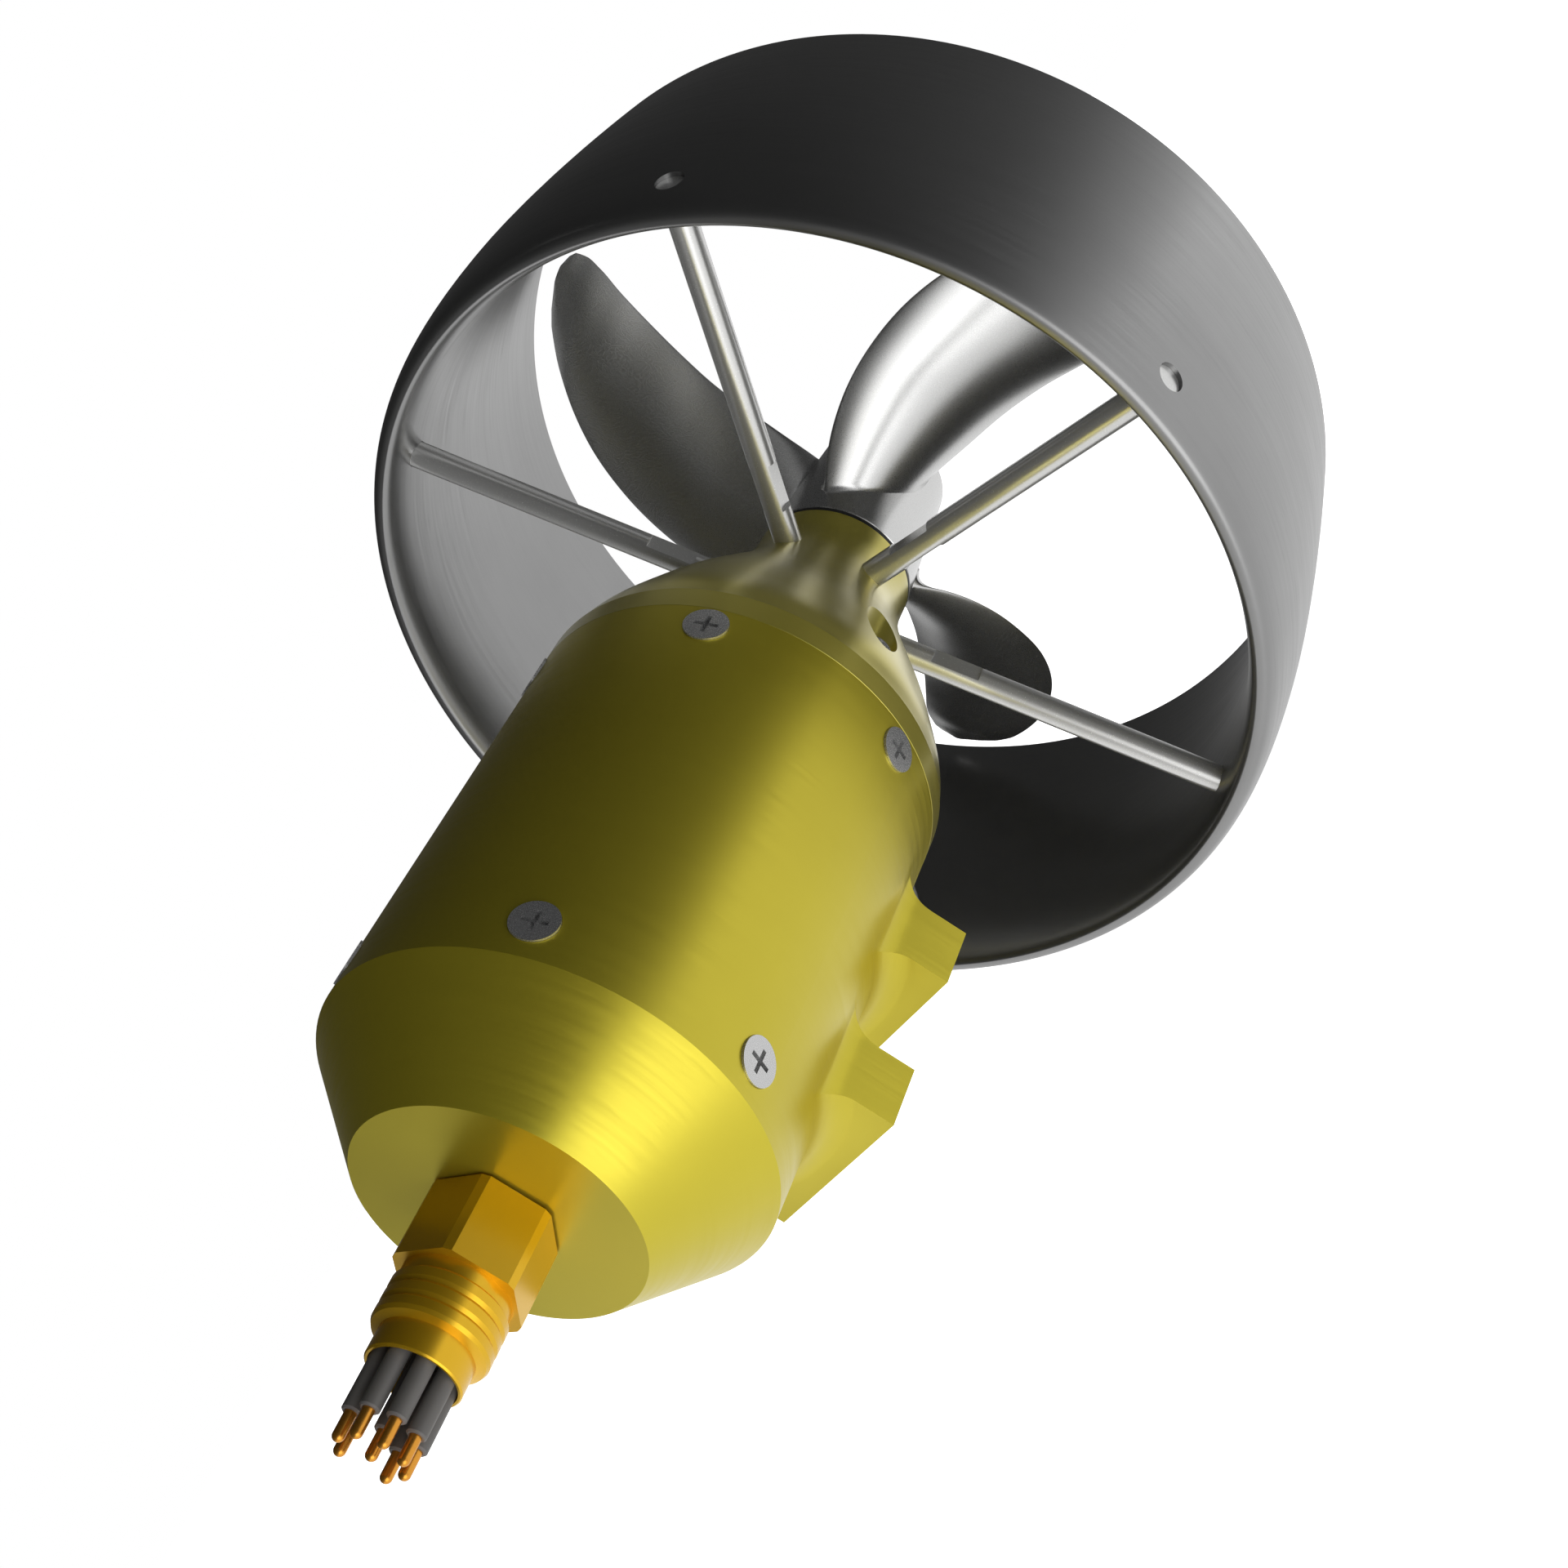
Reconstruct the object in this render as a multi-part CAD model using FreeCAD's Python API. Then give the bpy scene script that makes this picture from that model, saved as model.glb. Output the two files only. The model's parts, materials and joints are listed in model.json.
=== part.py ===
"""Ducted underwater thruster: a geared electric motor in a round, sealed housing drives a
propeller inside a duct. X runs along the thruster's axis towards the propeller, and the
mounting feet point down. The origin is the middle of the feet's four holes, on their seat.
"""
import FreeCAD
import Part
import math
import os

V = FreeCAD.Vector
ORIGIN = V(0, 0, 0)
AXIS = V(1, 0, 0)

# Housing and feet
BODY_OD = 90.0
HOUSING_LENGTH = 95.0
HOUSING_WALL = 5.0
TAIL_TO_FEET = 48.3
AXIS_HEIGHT = 54.2
FOOT_SPACING = 36.8
FOOT_THICKNESS = 13.7
FOOT_WIDTH = 44.9
FOOT_FILLET = 6.0
FOOT_HOLE_SPACING = 30.0
FOOT_HOLE_DIAMETER = 5.0
FOOT_HOLE_DEPTH = 10.0

# Tail cone and nose
TAIL_LENGTH = 20.6
TAIL_BAND = 1.8
TAIL_FACE_DIAMETER = 56.6
TAIL_WALL = 8.0
TAIL_SKIN = 6.0
SPIGOT_WALL = 7.0
TAIL_SPIGOT_LENGTH = 15.2
NOSE_SPIGOT_LENGTH = 16.0
NOSE_LENGTH = 73.2
NOSE_BAND = 5.6
NOSE_STEP = 0.15
COLLAR_DIAMETER = 37.0
NOSE_FACE_DEPTH = 25.3
RIDGE_HEIGHT = 0.9
RIDGE_SHARPNESS = 2
RIDGE_PEAK = 0.31
# Nose outline: share of its tapered length, share of the drop from body to collar
NOSE_OUTLINE = ((0.0, 0.0), (0.08, 0.05), (0.21, 0.19), (0.35, 0.365), (0.48, 0.55),
                (0.61, 0.735), (0.74, 0.89), (0.83, 0.965), (0.90, 0.993), (1.0, 1.0))

# Countersunk screws through the housing
SCREW_COUNT = 6
SCREW_HEAD_DIAMETER = 9.2
SCREW_SHANK_DIAMETER = 5.0
SCREW_LENGTH = 10.5
SCREW_PROUD = 0.35
SCREW_HEAD_ANGLE = 45.0
RECESS_WIDTH = 0.95
RECESS_SPAN = 5.0
RECESS_DEPTH = 1.7
TAIL_SCREW_INSET = 6.2
NOSE_SCREW_INSET = 5.2

# O-rings between the spigots and the housing
ORING_SECTION = 2.4
TAIL_ORING_INSET = 11.7
NOSE_ORING_INSET = 12.1

# Duct and its spokes
DUCT_WAIST_DIAMETER = 216.4
DUCT_LENGTH = 86.2
DUCT_WAIST_OFFSET = 30.5
DUCT_THROAT_OFFSET = 27.0
DUCT_WALL = 10.0
DUCT_LIP_DROP = 5.5
DUCT_OUTLET_DROP = 6.6
DUCT_OUTLET_EDGE = 2.7
LIP_TO_SPOKES = 10.4
SPOKES_TO_COLLAR = 14.9
SPOKE_COUNT = 6
SPOKE_DIAMETER = 6.3
SPOKE_FIRST_ANGLE = 45.0
SPOKE_SPIGOT_DIAMETER = 5.0
SPOKE_SPIGOT_LENGTH = 2.8
SPOKE_INNER_RADIUS = 14.9
SPOKE_END_RECESS = 0.7
FLATS_START_RADIUS = 29.3
FLATS_LENGTH = 11.6
FLATS_ACROSS = 4.4

# Bleed screws in the nose's counterbores
BLEED_COUNT = 3
BLEED_CIRCLE_RADIUS = 37.4
BLEED_SEAT = 13.2
COUNTERBORE_DIAMETER = 9.2
BLEED_HEAD_DIAMETER = 8.5
BLEED_HEAD_HEIGHT = 5.0
BLEED_SHANK_DIAMETER = 5.0
BLEED_LENGTH = 9.0
BLEED_SOCKET_ACROSS = 4.0
BLEED_SOCKET_DEPTH = 2.5
BLEED_PASSAGE_DIAMETER = 2.0

# Connector
HEX_ACROSS_FLATS = 22.3
HEX_LENGTH = 15.7
HEX_CORNER_CUT = 0.5
SEAL_GAP = 0.5
SEAL_DIAMETER = 21.0
CONNECTOR_THREAD_DIAMETER = 18.0
NECK_DIAMETER = 20.4
NECK_LENGTH = 2.4
RIDGE_COUNT = 3
RIDGE_PITCH = 2.9
RIDGE_DIAMETER = 21.6
RIDGE_ROOT_DIAMETER = 20.8
BAND_DIAMETER = 17.6
BAND_LENGTH = 5.4
BEVEL_LENGTH = 0.6
MOUTH_DIAMETER = 16.2
MOUTH_DEPTH = 4.2
MOUTH_CHAMFER = 0.3
CONTACT_CIRCLE_RADIUS = 6.1
CONTACT_POSITIONS = 8
CONTACT_LEFT_OUT = 2
SLEEVE_DIAMETER = 3.6
SLEEVE_LENGTH = 14.6
SLEEVE_SINK = 4.0
SLEEVE_CHAMFER = 0.3
PIN_DIAMETER = 2.16
PIN_REACH = 5.3

# Propeller
HUB_GAP = 1.2
HUB_LENGTH = 40.3
HUB_REAR_DIAMETER = 37.0
HUB_FRONT_DIAMETER = 31.5
HUB_EDGE_ROUND = 2.0
BLADE_COUNT = 3
BLADE_ANGLE = 290.0
BLADE_TIP_CLEARANCE = 1.2
BLADE_ROOT_SINK = 1.5
BLADE_ROOT_DEPTH = 0.6
BLADE_THICKNESS_ROOT = 5.6
BLADE_THICKNESS_TIP = 1.2
BLADE_CAMBER_ROOT = 0.09
BLADE_CAMBER_TIP = 0.03
# Blade outline: share of the height, leading edge's angle and x, trailing edge's angle and x
BLADE_STATIONS = ((0.0, -64.5, 5.0, 9.0, 32.5), (0.13, -61.0, 11.1, 4.5, 35.8),
                  (0.265, -55.0, 16.9, 1.5, 39.9), (0.40, -48.0, 22.6, 1.0, 43.5),
                  (0.535, -40.5, 29.1, 2.0, 47.1), (0.67, -32.0, 35.3, 3.0, 51.1),
                  (0.795, -22.5, 40.9, 4.2, 54.5), (0.88, -15.0, 45.7, 4.9, 57.3),
                  (0.945, -10.0, 51.2, 4.6, 59.3), (0.985, -5.5, 55.2, 3.2, 59.4),
                  (1.0, -1.8, 57.4, 1.2, 58.6))

# Shaft, seals and shaft bearings
SHAFT_DIAMETER = 12.0
JOURNAL_DIAMETER = 15.0
NUT_THREAD_DIAMETER = 10.0
NUT_ACROSS_FLATS = 16.0
NUT_LENGTH = 8.0
THREAD_BEYOND_NUT = 2.0
DRIVE_PIN_DIAMETER = 4.0
DRIVE_PIN_LENGTH = 26.0
DRIVE_PIN_INSET = 5.0
LIP_SEAL_OD = 26.0
LIP_SEAL_WIDTH = 7.0
LIP_SEAL_INSET = 1.4
LIP_SEAL_SPACE = 1.0
THROAT_BORE = 22.0
SHAFT_BEARING_OD = 32.0
SHAFT_BEARING_WIDTH = 10.0
SHAFT_BEARING_DEPTH = 14.0
CARRIER_BEARING_OD = 24.0
CARRIER_BEARING_WIDTH = 5.0
CIRCLIP_WIDTH = 1.5
CIRCLIP_DEPTH = 0.9

# Planetary gear
GEAR_MODULE = 0.8
PRESSURE_ANGLE = 20.0
SUN_TEETH = 18
PLANET_TEETH = 18
RING_TEETH = 54
PLANET_COUNT = 3
GEAR_WIDTH = 10.0
BACKLASH = 0.16
GEARBOX_OD = 60.0
GEARBOX_BORE = 52.0
GEARBOX_FRONT_WALL = 8.0
PLANET_PIN_DIAMETER = 5.0
CARRIER_DIAMETER = 40.0
CARRIER_THICKNESS = 5.0
CARRIER_REAR_THICKNESS = 4.0
PLANET_SIDE_GAP = 0.6

# Motor
STATOR_BORE = 44.0
STATOR_YOKE = 8.0
STATOR_TEETH = 12
TOOTH_WIDTH = 7.0
SHOE_WIDTH = 10.0
SHOE_HEIGHT = 2.0
COIL_BUILD = 2.4
COIL_GAP = 0.2
AIR_GAP = 0.8
MAGNET_THICKNESS = 3.2
MAGNET_COUNT = 10
MAGNET_ARC = 31.0
ROTOR_SHAFT_DIAMETER = 10.0
ROTOR_JOURNAL_DIAMETER = 6.0
MOTOR_BEARING_OD = 19.0
MOTOR_BEARING_WIDTH = 6.0
PLATE_THICKNESS = 7.0
PLATE_TO_STATOR = 4.0
MOTOR_END_SPACE = 1.8

# Controller
BOARD_DIAMETER = 58.0
BOARD_THICKNESS = 1.6
STANDOFF_LENGTH = 6.0
STANDOFF_DIAMETER = 5.0
STANDOFF_CIRCLE_RADIUS = 24.0
CAPACITOR_DIAMETER = 10.0
CAPACITOR_LENGTH = 12.0
CAPACITOR_CIRCLE_RADIUS = 14.0
TRANSISTOR_SIZE = (2.3, 6.0, 6.5)
TRANSISTOR_CIRCLE_RADIUS = 15.0

# Clearances
FIT = 0.05
RUNNING = 0.03
HOLE_CLEARANCE = 0.1
SIDE_CLEARANCE = 0.3

# Places that follow from the sizes
BODY_R = BODY_OD / 2
BORE_R = BODY_R - HOUSING_WALL
TAIL_X = -TAIL_TO_FEET
NOSE_X = TAIL_X + HOUSING_LENGTH
TAIL_CONE_X = TAIL_X - TAIL_BAND
TAIL_FACE_X = TAIL_CONE_X - TAIL_LENGTH
COLLAR_X = NOSE_X + NOSE_LENGTH
TAPER_X = NOSE_X + NOSE_BAND
TAPER_LENGTH = NOSE_LENGTH - NOSE_BAND
NOSE_FACE_X = NOSE_X + NOSE_FACE_DEPTH
SPOKE_X = COLLAR_X - SPOKES_TO_COLLAR
DUCT_INLET_X = SPOKE_X - LIP_TO_SPOKES
DUCT_WAIST_R = DUCT_WAIST_DIAMETER / 2
DUCT_THROAT_R = DUCT_WAIST_R - DUCT_WALL
DUCT_LIP_R = DUCT_WAIST_R - DUCT_LIP_DROP
DUCT_OUTLET_R = DUCT_WAIST_R - DUCT_OUTLET_DROP
BLADE_RADIUS = DUCT_THROAT_R - BLADE_TIP_CLEARANCE
HUB_X = COLLAR_X + HUB_GAP
HUB_END_X = HUB_X + HUB_LENGTH
SPIGOT_BORE_R = BORE_R - SPIGOT_WALL
NOSE_BORE_R = GEARBOX_OD / 2 + SIDE_CLEARANCE
GEARBOX_FRONT_X = NOSE_FACE_X - GEARBOX_FRONT_WALL
PLANET_CENTRE_R = GEAR_MODULE * (SUN_TEETH + PLANET_TEETH) / 2
CARRIER_X = GEARBOX_FRONT_X - 2.5 - CARRIER_THICKNESS
GEAR_X = CARRIER_X - PLANET_SIDE_GAP - GEAR_WIDTH
CARRIER_REAR_X = GEAR_X - PLANET_SIDE_GAP - CARRIER_REAR_THICKNESS
SHAFT_BEARING_X = NOSE_FACE_X + SHAFT_BEARING_DEPTH
FRONT_SEAL_X = COLLAR_X - LIP_SEAL_INSET - LIP_SEAL_WIDTH
REAR_SEAL_X = FRONT_SEAL_X - LIP_SEAL_SPACE - LIP_SEAL_WIDTH
REAR_PLATE_X = TAIL_X + TAIL_SPIGOT_LENGTH
STATOR_X = REAR_PLATE_X + PLATE_THICKNESS + PLATE_TO_STATOR
FRONT_PLATE_X = NOSE_X - NOSE_SPIGOT_LENGTH - MOTOR_END_SPACE - PLATE_THICKNESS
STATOR_LENGTH = FRONT_PLATE_X - PLATE_TO_STATOR - STATOR_X
BOARD_X = REAR_PLATE_X - STANDOFF_LENGTH - BOARD_THICKNESS
CONNECTOR_FACE_X = TAIL_FACE_X - SEAL_GAP


def spoke(angle, radius=1.0):
    """Point at a radius and an angle, counted from straight down towards +Y."""
    a = math.radians(angle)
    return V(0, radius * math.sin(a), -radius * math.cos(a))


def angles(count, first=0.0):
    return [first + 360.0 * i / count for i in range(count)]


def turned(shape, angle):
    """Copy turned about the thruster's axis."""
    copy = shape.copy()
    copy.rotate(ORIGIN, AXIS, angle)
    return copy


def moved(shape, x=0.0, y=0.0, z=0.0):
    copy = shape.copy()
    copy.translate(V(x, y, z))
    return copy


def ring_of(shape, count, first=0.0):
    return [turned(shape, a) for a in angles(count, first)]


def revolved(points):
    """Solid of revolution about X from (x, radius) points."""
    corners = [V(x, 0, r) for x, r in points]
    face = Part.Face(Part.makePolygon(corners + corners[:1]))
    return face.revolve(ORIGIN, AXIS, 360)


def rod(radius, x, length):
    """Cylinder about X that starts at x."""
    return Part.makeCylinder(radius, length, V(x, 0, 0), AXIS)


def tube(outer, inner, x, length):
    return rod(outer, x, length).cut(rod(inner, x, length))


def radial_rod(radius, x, start, end):
    """Cylinder that points straight down, between two radii."""
    return Part.makeCylinder(radius, end - start, V(x, 0, -start), V(0, 0, -1))


def block(x, y, z, centre):
    """Box with the given sizes about its centre."""
    return Part.makeBox(x, y, z, centre - V(x / 2, y / 2, z / 2))


def fused(shapes):
    return shapes[0].multiFuse(shapes[1:]).removeSplitter()


def edges_where(shape, test):
    return [e for e in shape.Edges if test(e)]


def export(name, shapes):
    """Write one node, lifted so that the feet stand on z = 0."""
    parts = shapes if isinstance(shapes, list) else [shapes]
    solids = [s for p in parts for s in p.Solids]
    lifted = [moved(s, 0, 0, AXIS_HEIGHT) for s in solids]
    shape = lifted[0] if len(lifted) == 1 else Part.makeCompound(lifted)
    shape.exportStep("parts/" + name + ".step")


# Housing and feet

def foot():
    """Block that reaches from inside the housing wall down to the seat."""
    top = BORE_R + HOUSING_WALL / 2
    span = math.sqrt(top ** 2 - (FOOT_WIDTH / 2) ** 2) - 1.0
    middle = V(0, 0, -(AXIS_HEIGHT + span) / 2)
    return block(FOOT_THICKNESS, FOOT_WIDTH, AXIS_HEIGHT - span, middle)


def is_foot_root(edge):
    """True for the edges where a foot leaves the round body."""
    on_body = [abs(math.hypot(p.y, p.z) - BODY_R) < 0.01 for p in edge.discretize(5)]
    near = all(abs(abs(p.x) - FOOT_SPACING / 2) < FOOT_THICKNESS for p in edge.discretize(5))
    return all(on_body) and near and edge.CenterOfMass.z < 0


def housing():
    body = rod(BODY_R, TAIL_X, HOUSING_LENGTH)
    feet = [moved(foot(), side * FOOT_SPACING / 2) for side in (-1, 1)]
    outer = fused([body] + feet)
    outer = outer.makeFillet(FOOT_FILLET, edges_where(outer, is_foot_root))
    cuts = [rod(BORE_R, TAIL_X - 1, HOUSING_LENGTH + 2)]
    for x_side in (-1, 1):
        for y_side in (-1, 1):
            start = V(x_side * FOOT_SPACING / 2, y_side * FOOT_HOLE_SPACING / 2, -AXIS_HEIGHT)
            cuts.append(Part.makeCylinder(FOOT_HOLE_DIAMETER / 2, FOOT_HOLE_DEPTH, start))
    cuts += ring_of(screw_seat(TAIL_X + TAIL_SCREW_INSET), SCREW_COUNT)
    cuts += ring_of(screw_seat(NOSE_X - NOSE_SCREW_INSET), SCREW_COUNT)
    return outer.cut(cuts)


# Screws through the housing

def screw_profile(extra):
    """Head radius, shank radius and cone height of a countersunk screw, made larger by the extra."""
    head_r = SCREW_HEAD_DIAMETER / 2 + extra
    shank_r = SCREW_SHANK_DIAMETER / 2 + extra
    cone = (head_r - shank_r) / math.tan(math.radians(SCREW_HEAD_ANGLE))
    return head_r, shank_r, cone


def screw_solid(x, extra, length, rim):
    """Countersunk screw that points at the axis from below, with its rim's height."""
    head_r, shank_r, cone = screw_profile(extra)
    top = BODY_R + SCREW_PROUD
    points = [(0, 0), (0, head_r), (rim, head_r), (rim + cone, shank_r), (length, shank_r),
              (length, 0)]
    corners = [V(x + r, 0, -(top - d)) for d, r in points]
    face = Part.Face(Part.makePolygon(corners + corners[:1]))
    return face.revolve(V(x, 0, 0), V(0, 0, 1), 360)


def screw(x):
    body = screw_solid(x, 0, SCREW_LENGTH, SCREW_PROUD + 0.5)
    top = -(BODY_R + SCREW_PROUD)
    slots = [block(RECESS_SPAN, RECESS_WIDTH, 2 * RECESS_DEPTH, V(x, 0, top)),
             block(RECESS_WIDTH, RECESS_SPAN, 2 * RECESS_DEPTH, V(x, 0, top))]
    return body.cut(slots)


def screw_seat(x):
    """Room for a countersunk screw in the wall that it passes."""
    seat = screw_solid(x, FIT, SCREW_LENGTH + HOLE_CLEARANCE, SCREW_PROUD + 0.5)
    return seat.fuse(radial_rod(SCREW_HEAD_DIAMETER / 2 + FIT, x, BODY_R, BODY_R + 2))


# Tail cone

def groove(x):
    """Room for an O-ring in a spigot."""
    start = x - ORING_SECTION / 2 - FIT
    return tube(BORE_R + 1, BORE_R - ORING_SECTION - FIT, start, ORING_SECTION + 2 * FIT)


def oring(x):
    section_r = ORING_SECTION / 2
    return moved(Part.makeTorus(BORE_R - section_r - FIT / 2, section_r, ORIGIN, AXIS), x)


def tail_cone():
    """Cone with a spigot for the housing, hollow for the controller."""
    face_r = TAIL_FACE_DIAMETER / 2
    spigot_r = BORE_R - FIT
    inner_x = TAIL_FACE_X + TAIL_WALL
    slope = (BODY_R - face_r) / TAIL_LENGTH
    inner_face_r = face_r + slope * TAIL_WALL - TAIL_SKIN
    spigot_x = TAIL_X + TAIL_SPIGOT_LENGTH
    outer = revolved([(TAIL_FACE_X, 0), (TAIL_FACE_X, face_r), (TAIL_CONE_X, BODY_R), (TAIL_X, BODY_R),
                      (TAIL_X, spigot_r), (spigot_x, spigot_r), (spigot_x, 0)])
    hollow = revolved([(inner_x, 0), (inner_x, inner_face_r), (TAIL_X, SPIGOT_BORE_R),
                       (spigot_x + 1, SPIGOT_BORE_R), (spigot_x + 1, 0)])
    thread = rod(CONNECTOR_THREAD_DIAMETER / 2 + FIT, TAIL_FACE_X - 1, TAIL_WALL + 2)
    holes = ring_of(screw_seat(TAIL_X + TAIL_SCREW_INSET), SCREW_COUNT)
    return outer.cut([hollow, thread, groove(TAIL_X + TAIL_ORING_INSET)] + holes)


# Nose

def nose_radius(share, angle):
    """Radius of the nose's outside, with a soft ridge under each spoke."""
    x, drop = zip(*NOSE_OUTLINE)
    k = min(i for i in range(1, len(x)) if share <= x[i] + 1e-9)
    t = (share - x[k - 1]) / (x[k] - x[k - 1])
    fall = drop[k - 1] + t * (drop[k] - drop[k - 1])
    start_r = BODY_R - NOSE_STEP
    base = start_r - fall * (start_r - COLLAR_DIAMETER / 2)
    wave = (1 + math.cos(math.radians(SPOKE_COUNT * (angle - SPOKE_FIRST_ANGLE)))) / 2
    lobe = wave ** RIDGE_SHARPNESS
    swell = math.sin(math.pi * share ** (math.log(0.5) / math.log(RIDGE_PEAK))) ** 2
    return base + RIDGE_HEIGHT * lobe * swell


def nose_section(share):
    """Closed smooth outline of the nose at a share of its length."""
    x = TAPER_X + share * TAPER_LENGTH
    points = []
    for a in angles(SPOKE_COUNT * 10, SPOKE_FIRST_ANGLE):
        p = spoke(a, nose_radius(share, a))
        points.append(V(x, p.y, p.z))
    curve = Part.BSplineCurve()
    curve.interpolate(Points=points, PeriodicFlag=True)
    return Part.Wire(curve.toShape())


def nose():
    """Flared end that carries the spokes, the shaft bearing and the seals."""
    skin = Part.makeLoft([nose_section(share) for share, _ in NOSE_OUTLINE], True, False)
    band = rod(BODY_R, NOSE_X, NOSE_BAND)
    spigot = rod(BORE_R - FIT, NOSE_X - NOSE_SPIGOT_LENGTH, NOSE_SPIGOT_LENGTH + 0.5)
    body = fused([skin, band, spigot])
    hollow_x = NOSE_X - NOSE_SPIGOT_LENGTH - 1
    bearing_end_x = SHAFT_BEARING_X + SHAFT_BEARING_WIDTH
    cuts = [rod(NOSE_BORE_R, hollow_x, NOSE_FACE_X - hollow_x),
            rod(SHAFT_BEARING_OD / 2 + FIT, NOSE_FACE_X - 1, bearing_end_x - NOSE_FACE_X + 1),
            rod(THROAT_BORE / 2, NOSE_FACE_X, NOSE_LENGTH),
            rod(LIP_SEAL_OD / 2 + FIT, REAR_SEAL_X, COLLAR_X - REAR_SEAL_X + 1),
            groove(NOSE_X - NOSE_ORING_INSET),
            circlip_groove()]
    cuts += ring_of(screw_seat(NOSE_X - NOSE_SCREW_INSET), SCREW_COUNT)
    cuts += ring_of(spoke_socket(), SPOKE_COUNT, SPOKE_FIRST_ANGLE)
    cuts += ring_of(bleed_well(), BLEED_COUNT, SPOKE_FIRST_ANGLE)
    return body.cut(cuts)


def bleed_well():
    """Counterbore from the nose's flank, the screw's hole, and the passage to the inside."""
    seat_x = NOSE_X + BLEED_SEAT
    well = rod(COUNTERBORE_DIAMETER / 2, seat_x, NOSE_LENGTH)
    hole_start = seat_x - BLEED_LENGTH - HOLE_CLEARANCE
    hole = rod(BLEED_SHANK_DIAMETER / 2 + FIT, hole_start, BLEED_LENGTH + 1)
    passage_r = BLEED_PASSAGE_DIAMETER / 2
    passage = radial_rod(passage_r, hole_start + passage_r, NOSE_BORE_R - 1, BLEED_CIRCLE_RADIUS)
    return fused([moved(well.fuse(hole), 0, 0, -BLEED_CIRCLE_RADIUS), passage])


def bleed_screw():
    seat_x = NOSE_X + BLEED_SEAT
    head = rod(BLEED_HEAD_DIAMETER / 2, seat_x, BLEED_HEAD_HEIGHT)
    shank = rod(BLEED_SHANK_DIAMETER / 2, seat_x - BLEED_LENGTH, BLEED_LENGTH + 1)
    top = seat_x + BLEED_HEAD_HEIGHT
    socket = hexagon(BLEED_SOCKET_ACROSS, top - BLEED_SOCKET_DEPTH, BLEED_SOCKET_DEPTH + 1, 0)
    return moved(head.fuse(shank).cut(socket), 0, 0, -BLEED_CIRCLE_RADIUS)


# Spokes and duct

def spoke_socket():
    """Stepped blind hole in the nose for one spoke."""
    step = SPOKE_INNER_RADIUS + SPOKE_SPIGOT_LENGTH
    bottom = SPOKE_INNER_RADIUS - HOLE_CLEARANCE
    narrow = radial_rod(SPOKE_SPIGOT_DIAMETER / 2 + FIT, SPOKE_X, bottom, step + 1)
    wide = radial_rod(SPOKE_DIAMETER / 2 + FIT, SPOKE_X, step - HOLE_CLEARANCE, BODY_R)
    return narrow.fuse(wide)


def duct_bulge(share):
    """Rise of a quarter ellipse at a share of its length, from 0 to 1."""
    return math.sqrt(1 - (1 - min(share, 1.0)) ** 2)


def duct_outer_radius(share):
    """Radius of the duct's outside at a share of the way from its lip to its waist."""
    return DUCT_LIP_R + DUCT_LIP_DROP * duct_bulge(share) ** 0.6


def straight_spoke():
    """Rod with a spigot at the nose and spanner flats on its sides."""
    step = SPOKE_INNER_RADIUS + SPOKE_SPIGOT_LENGTH
    end = duct_outer_radius((SPOKE_X - DUCT_INLET_X) / DUCT_WAIST_OFFSET) - SPOKE_END_RECESS
    spigot = radial_rod(SPOKE_SPIGOT_DIAMETER / 2, SPOKE_X, SPOKE_INNER_RADIUS, step + 1)
    body = spigot.fuse(radial_rod(SPOKE_DIAMETER / 2, SPOKE_X, step, end))
    middle = FLATS_START_RADIUS + FLATS_LENGTH / 2
    depth = (SPOKE_DIAMETER - FLATS_ACROSS) / 2
    offset = FLATS_ACROSS / 2 + depth
    flats = [block(SPOKE_DIAMETER + 1, 2 * depth, FLATS_LENGTH, V(SPOKE_X, side * offset, -middle))
             for side in (-1, 1)]
    return body.cut(flats)


def spline(points):
    curve = Part.BSplineCurve()
    curve.interpolate(points)
    return curve


def duct_section():
    """Face of the duct's wall: rounded lip, bulged outside, throat, thin outlet edge."""
    end_x = DUCT_INLET_X + DUCT_LENGTH
    waist_x = DUCT_INLET_X + DUCT_WAIST_OFFSET
    throat_x = DUCT_INLET_X + DUCT_THROAT_OFFSET
    outer = [(DUCT_INLET_X, DUCT_LIP_R)]
    inner = [(DUCT_INLET_X, DUCT_LIP_R)]
    for share in (0.03, 0.12, 0.3, 0.6, 1.0):
        throat_fall = (DUCT_LIP_R - DUCT_THROAT_R) * duct_bulge(share)
        outer.append((DUCT_INLET_X + share * DUCT_WAIST_OFFSET, duct_outer_radius(share)))
        inner.append((DUCT_INLET_X + share * DUCT_THROAT_OFFSET, DUCT_LIP_R - throat_fall))
    for share in (0.35, 0.7, 1.0):
        fall = share ** 1.6
        edge_r = DUCT_WAIST_R - (DUCT_OUTLET_DROP - DUCT_OUTLET_EDGE) * fall
        outer.append((waist_x + share * (end_x - waist_x), edge_r))
        bore_r = DUCT_THROAT_R + (DUCT_OUTLET_R - DUCT_THROAT_R) * fall
        inner.append((throat_x + share * (end_x - throat_x), bore_r))
    path = [V(x, 0, r) for x, r in reversed(inner)] + [V(x, 0, r) for x, r in outer[1:]]
    skin = spline(path).toShape()
    edge = Part.makeLine(path[-1], path[0])
    return Part.Face(Part.Wire([skin, edge]))


def duct():
    ring = duct_section().revolve(ORIGIN, AXIS, 360)
    inside = DUCT_THROAT_R - 5
    hole = radial_rod(SPOKE_DIAMETER / 2 + FIT, SPOKE_X, inside, DUCT_WAIST_R + 5)
    return ring.cut(ring_of(hole, SPOKE_COUNT, SPOKE_FIRST_ANGLE))


# Connector

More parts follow.
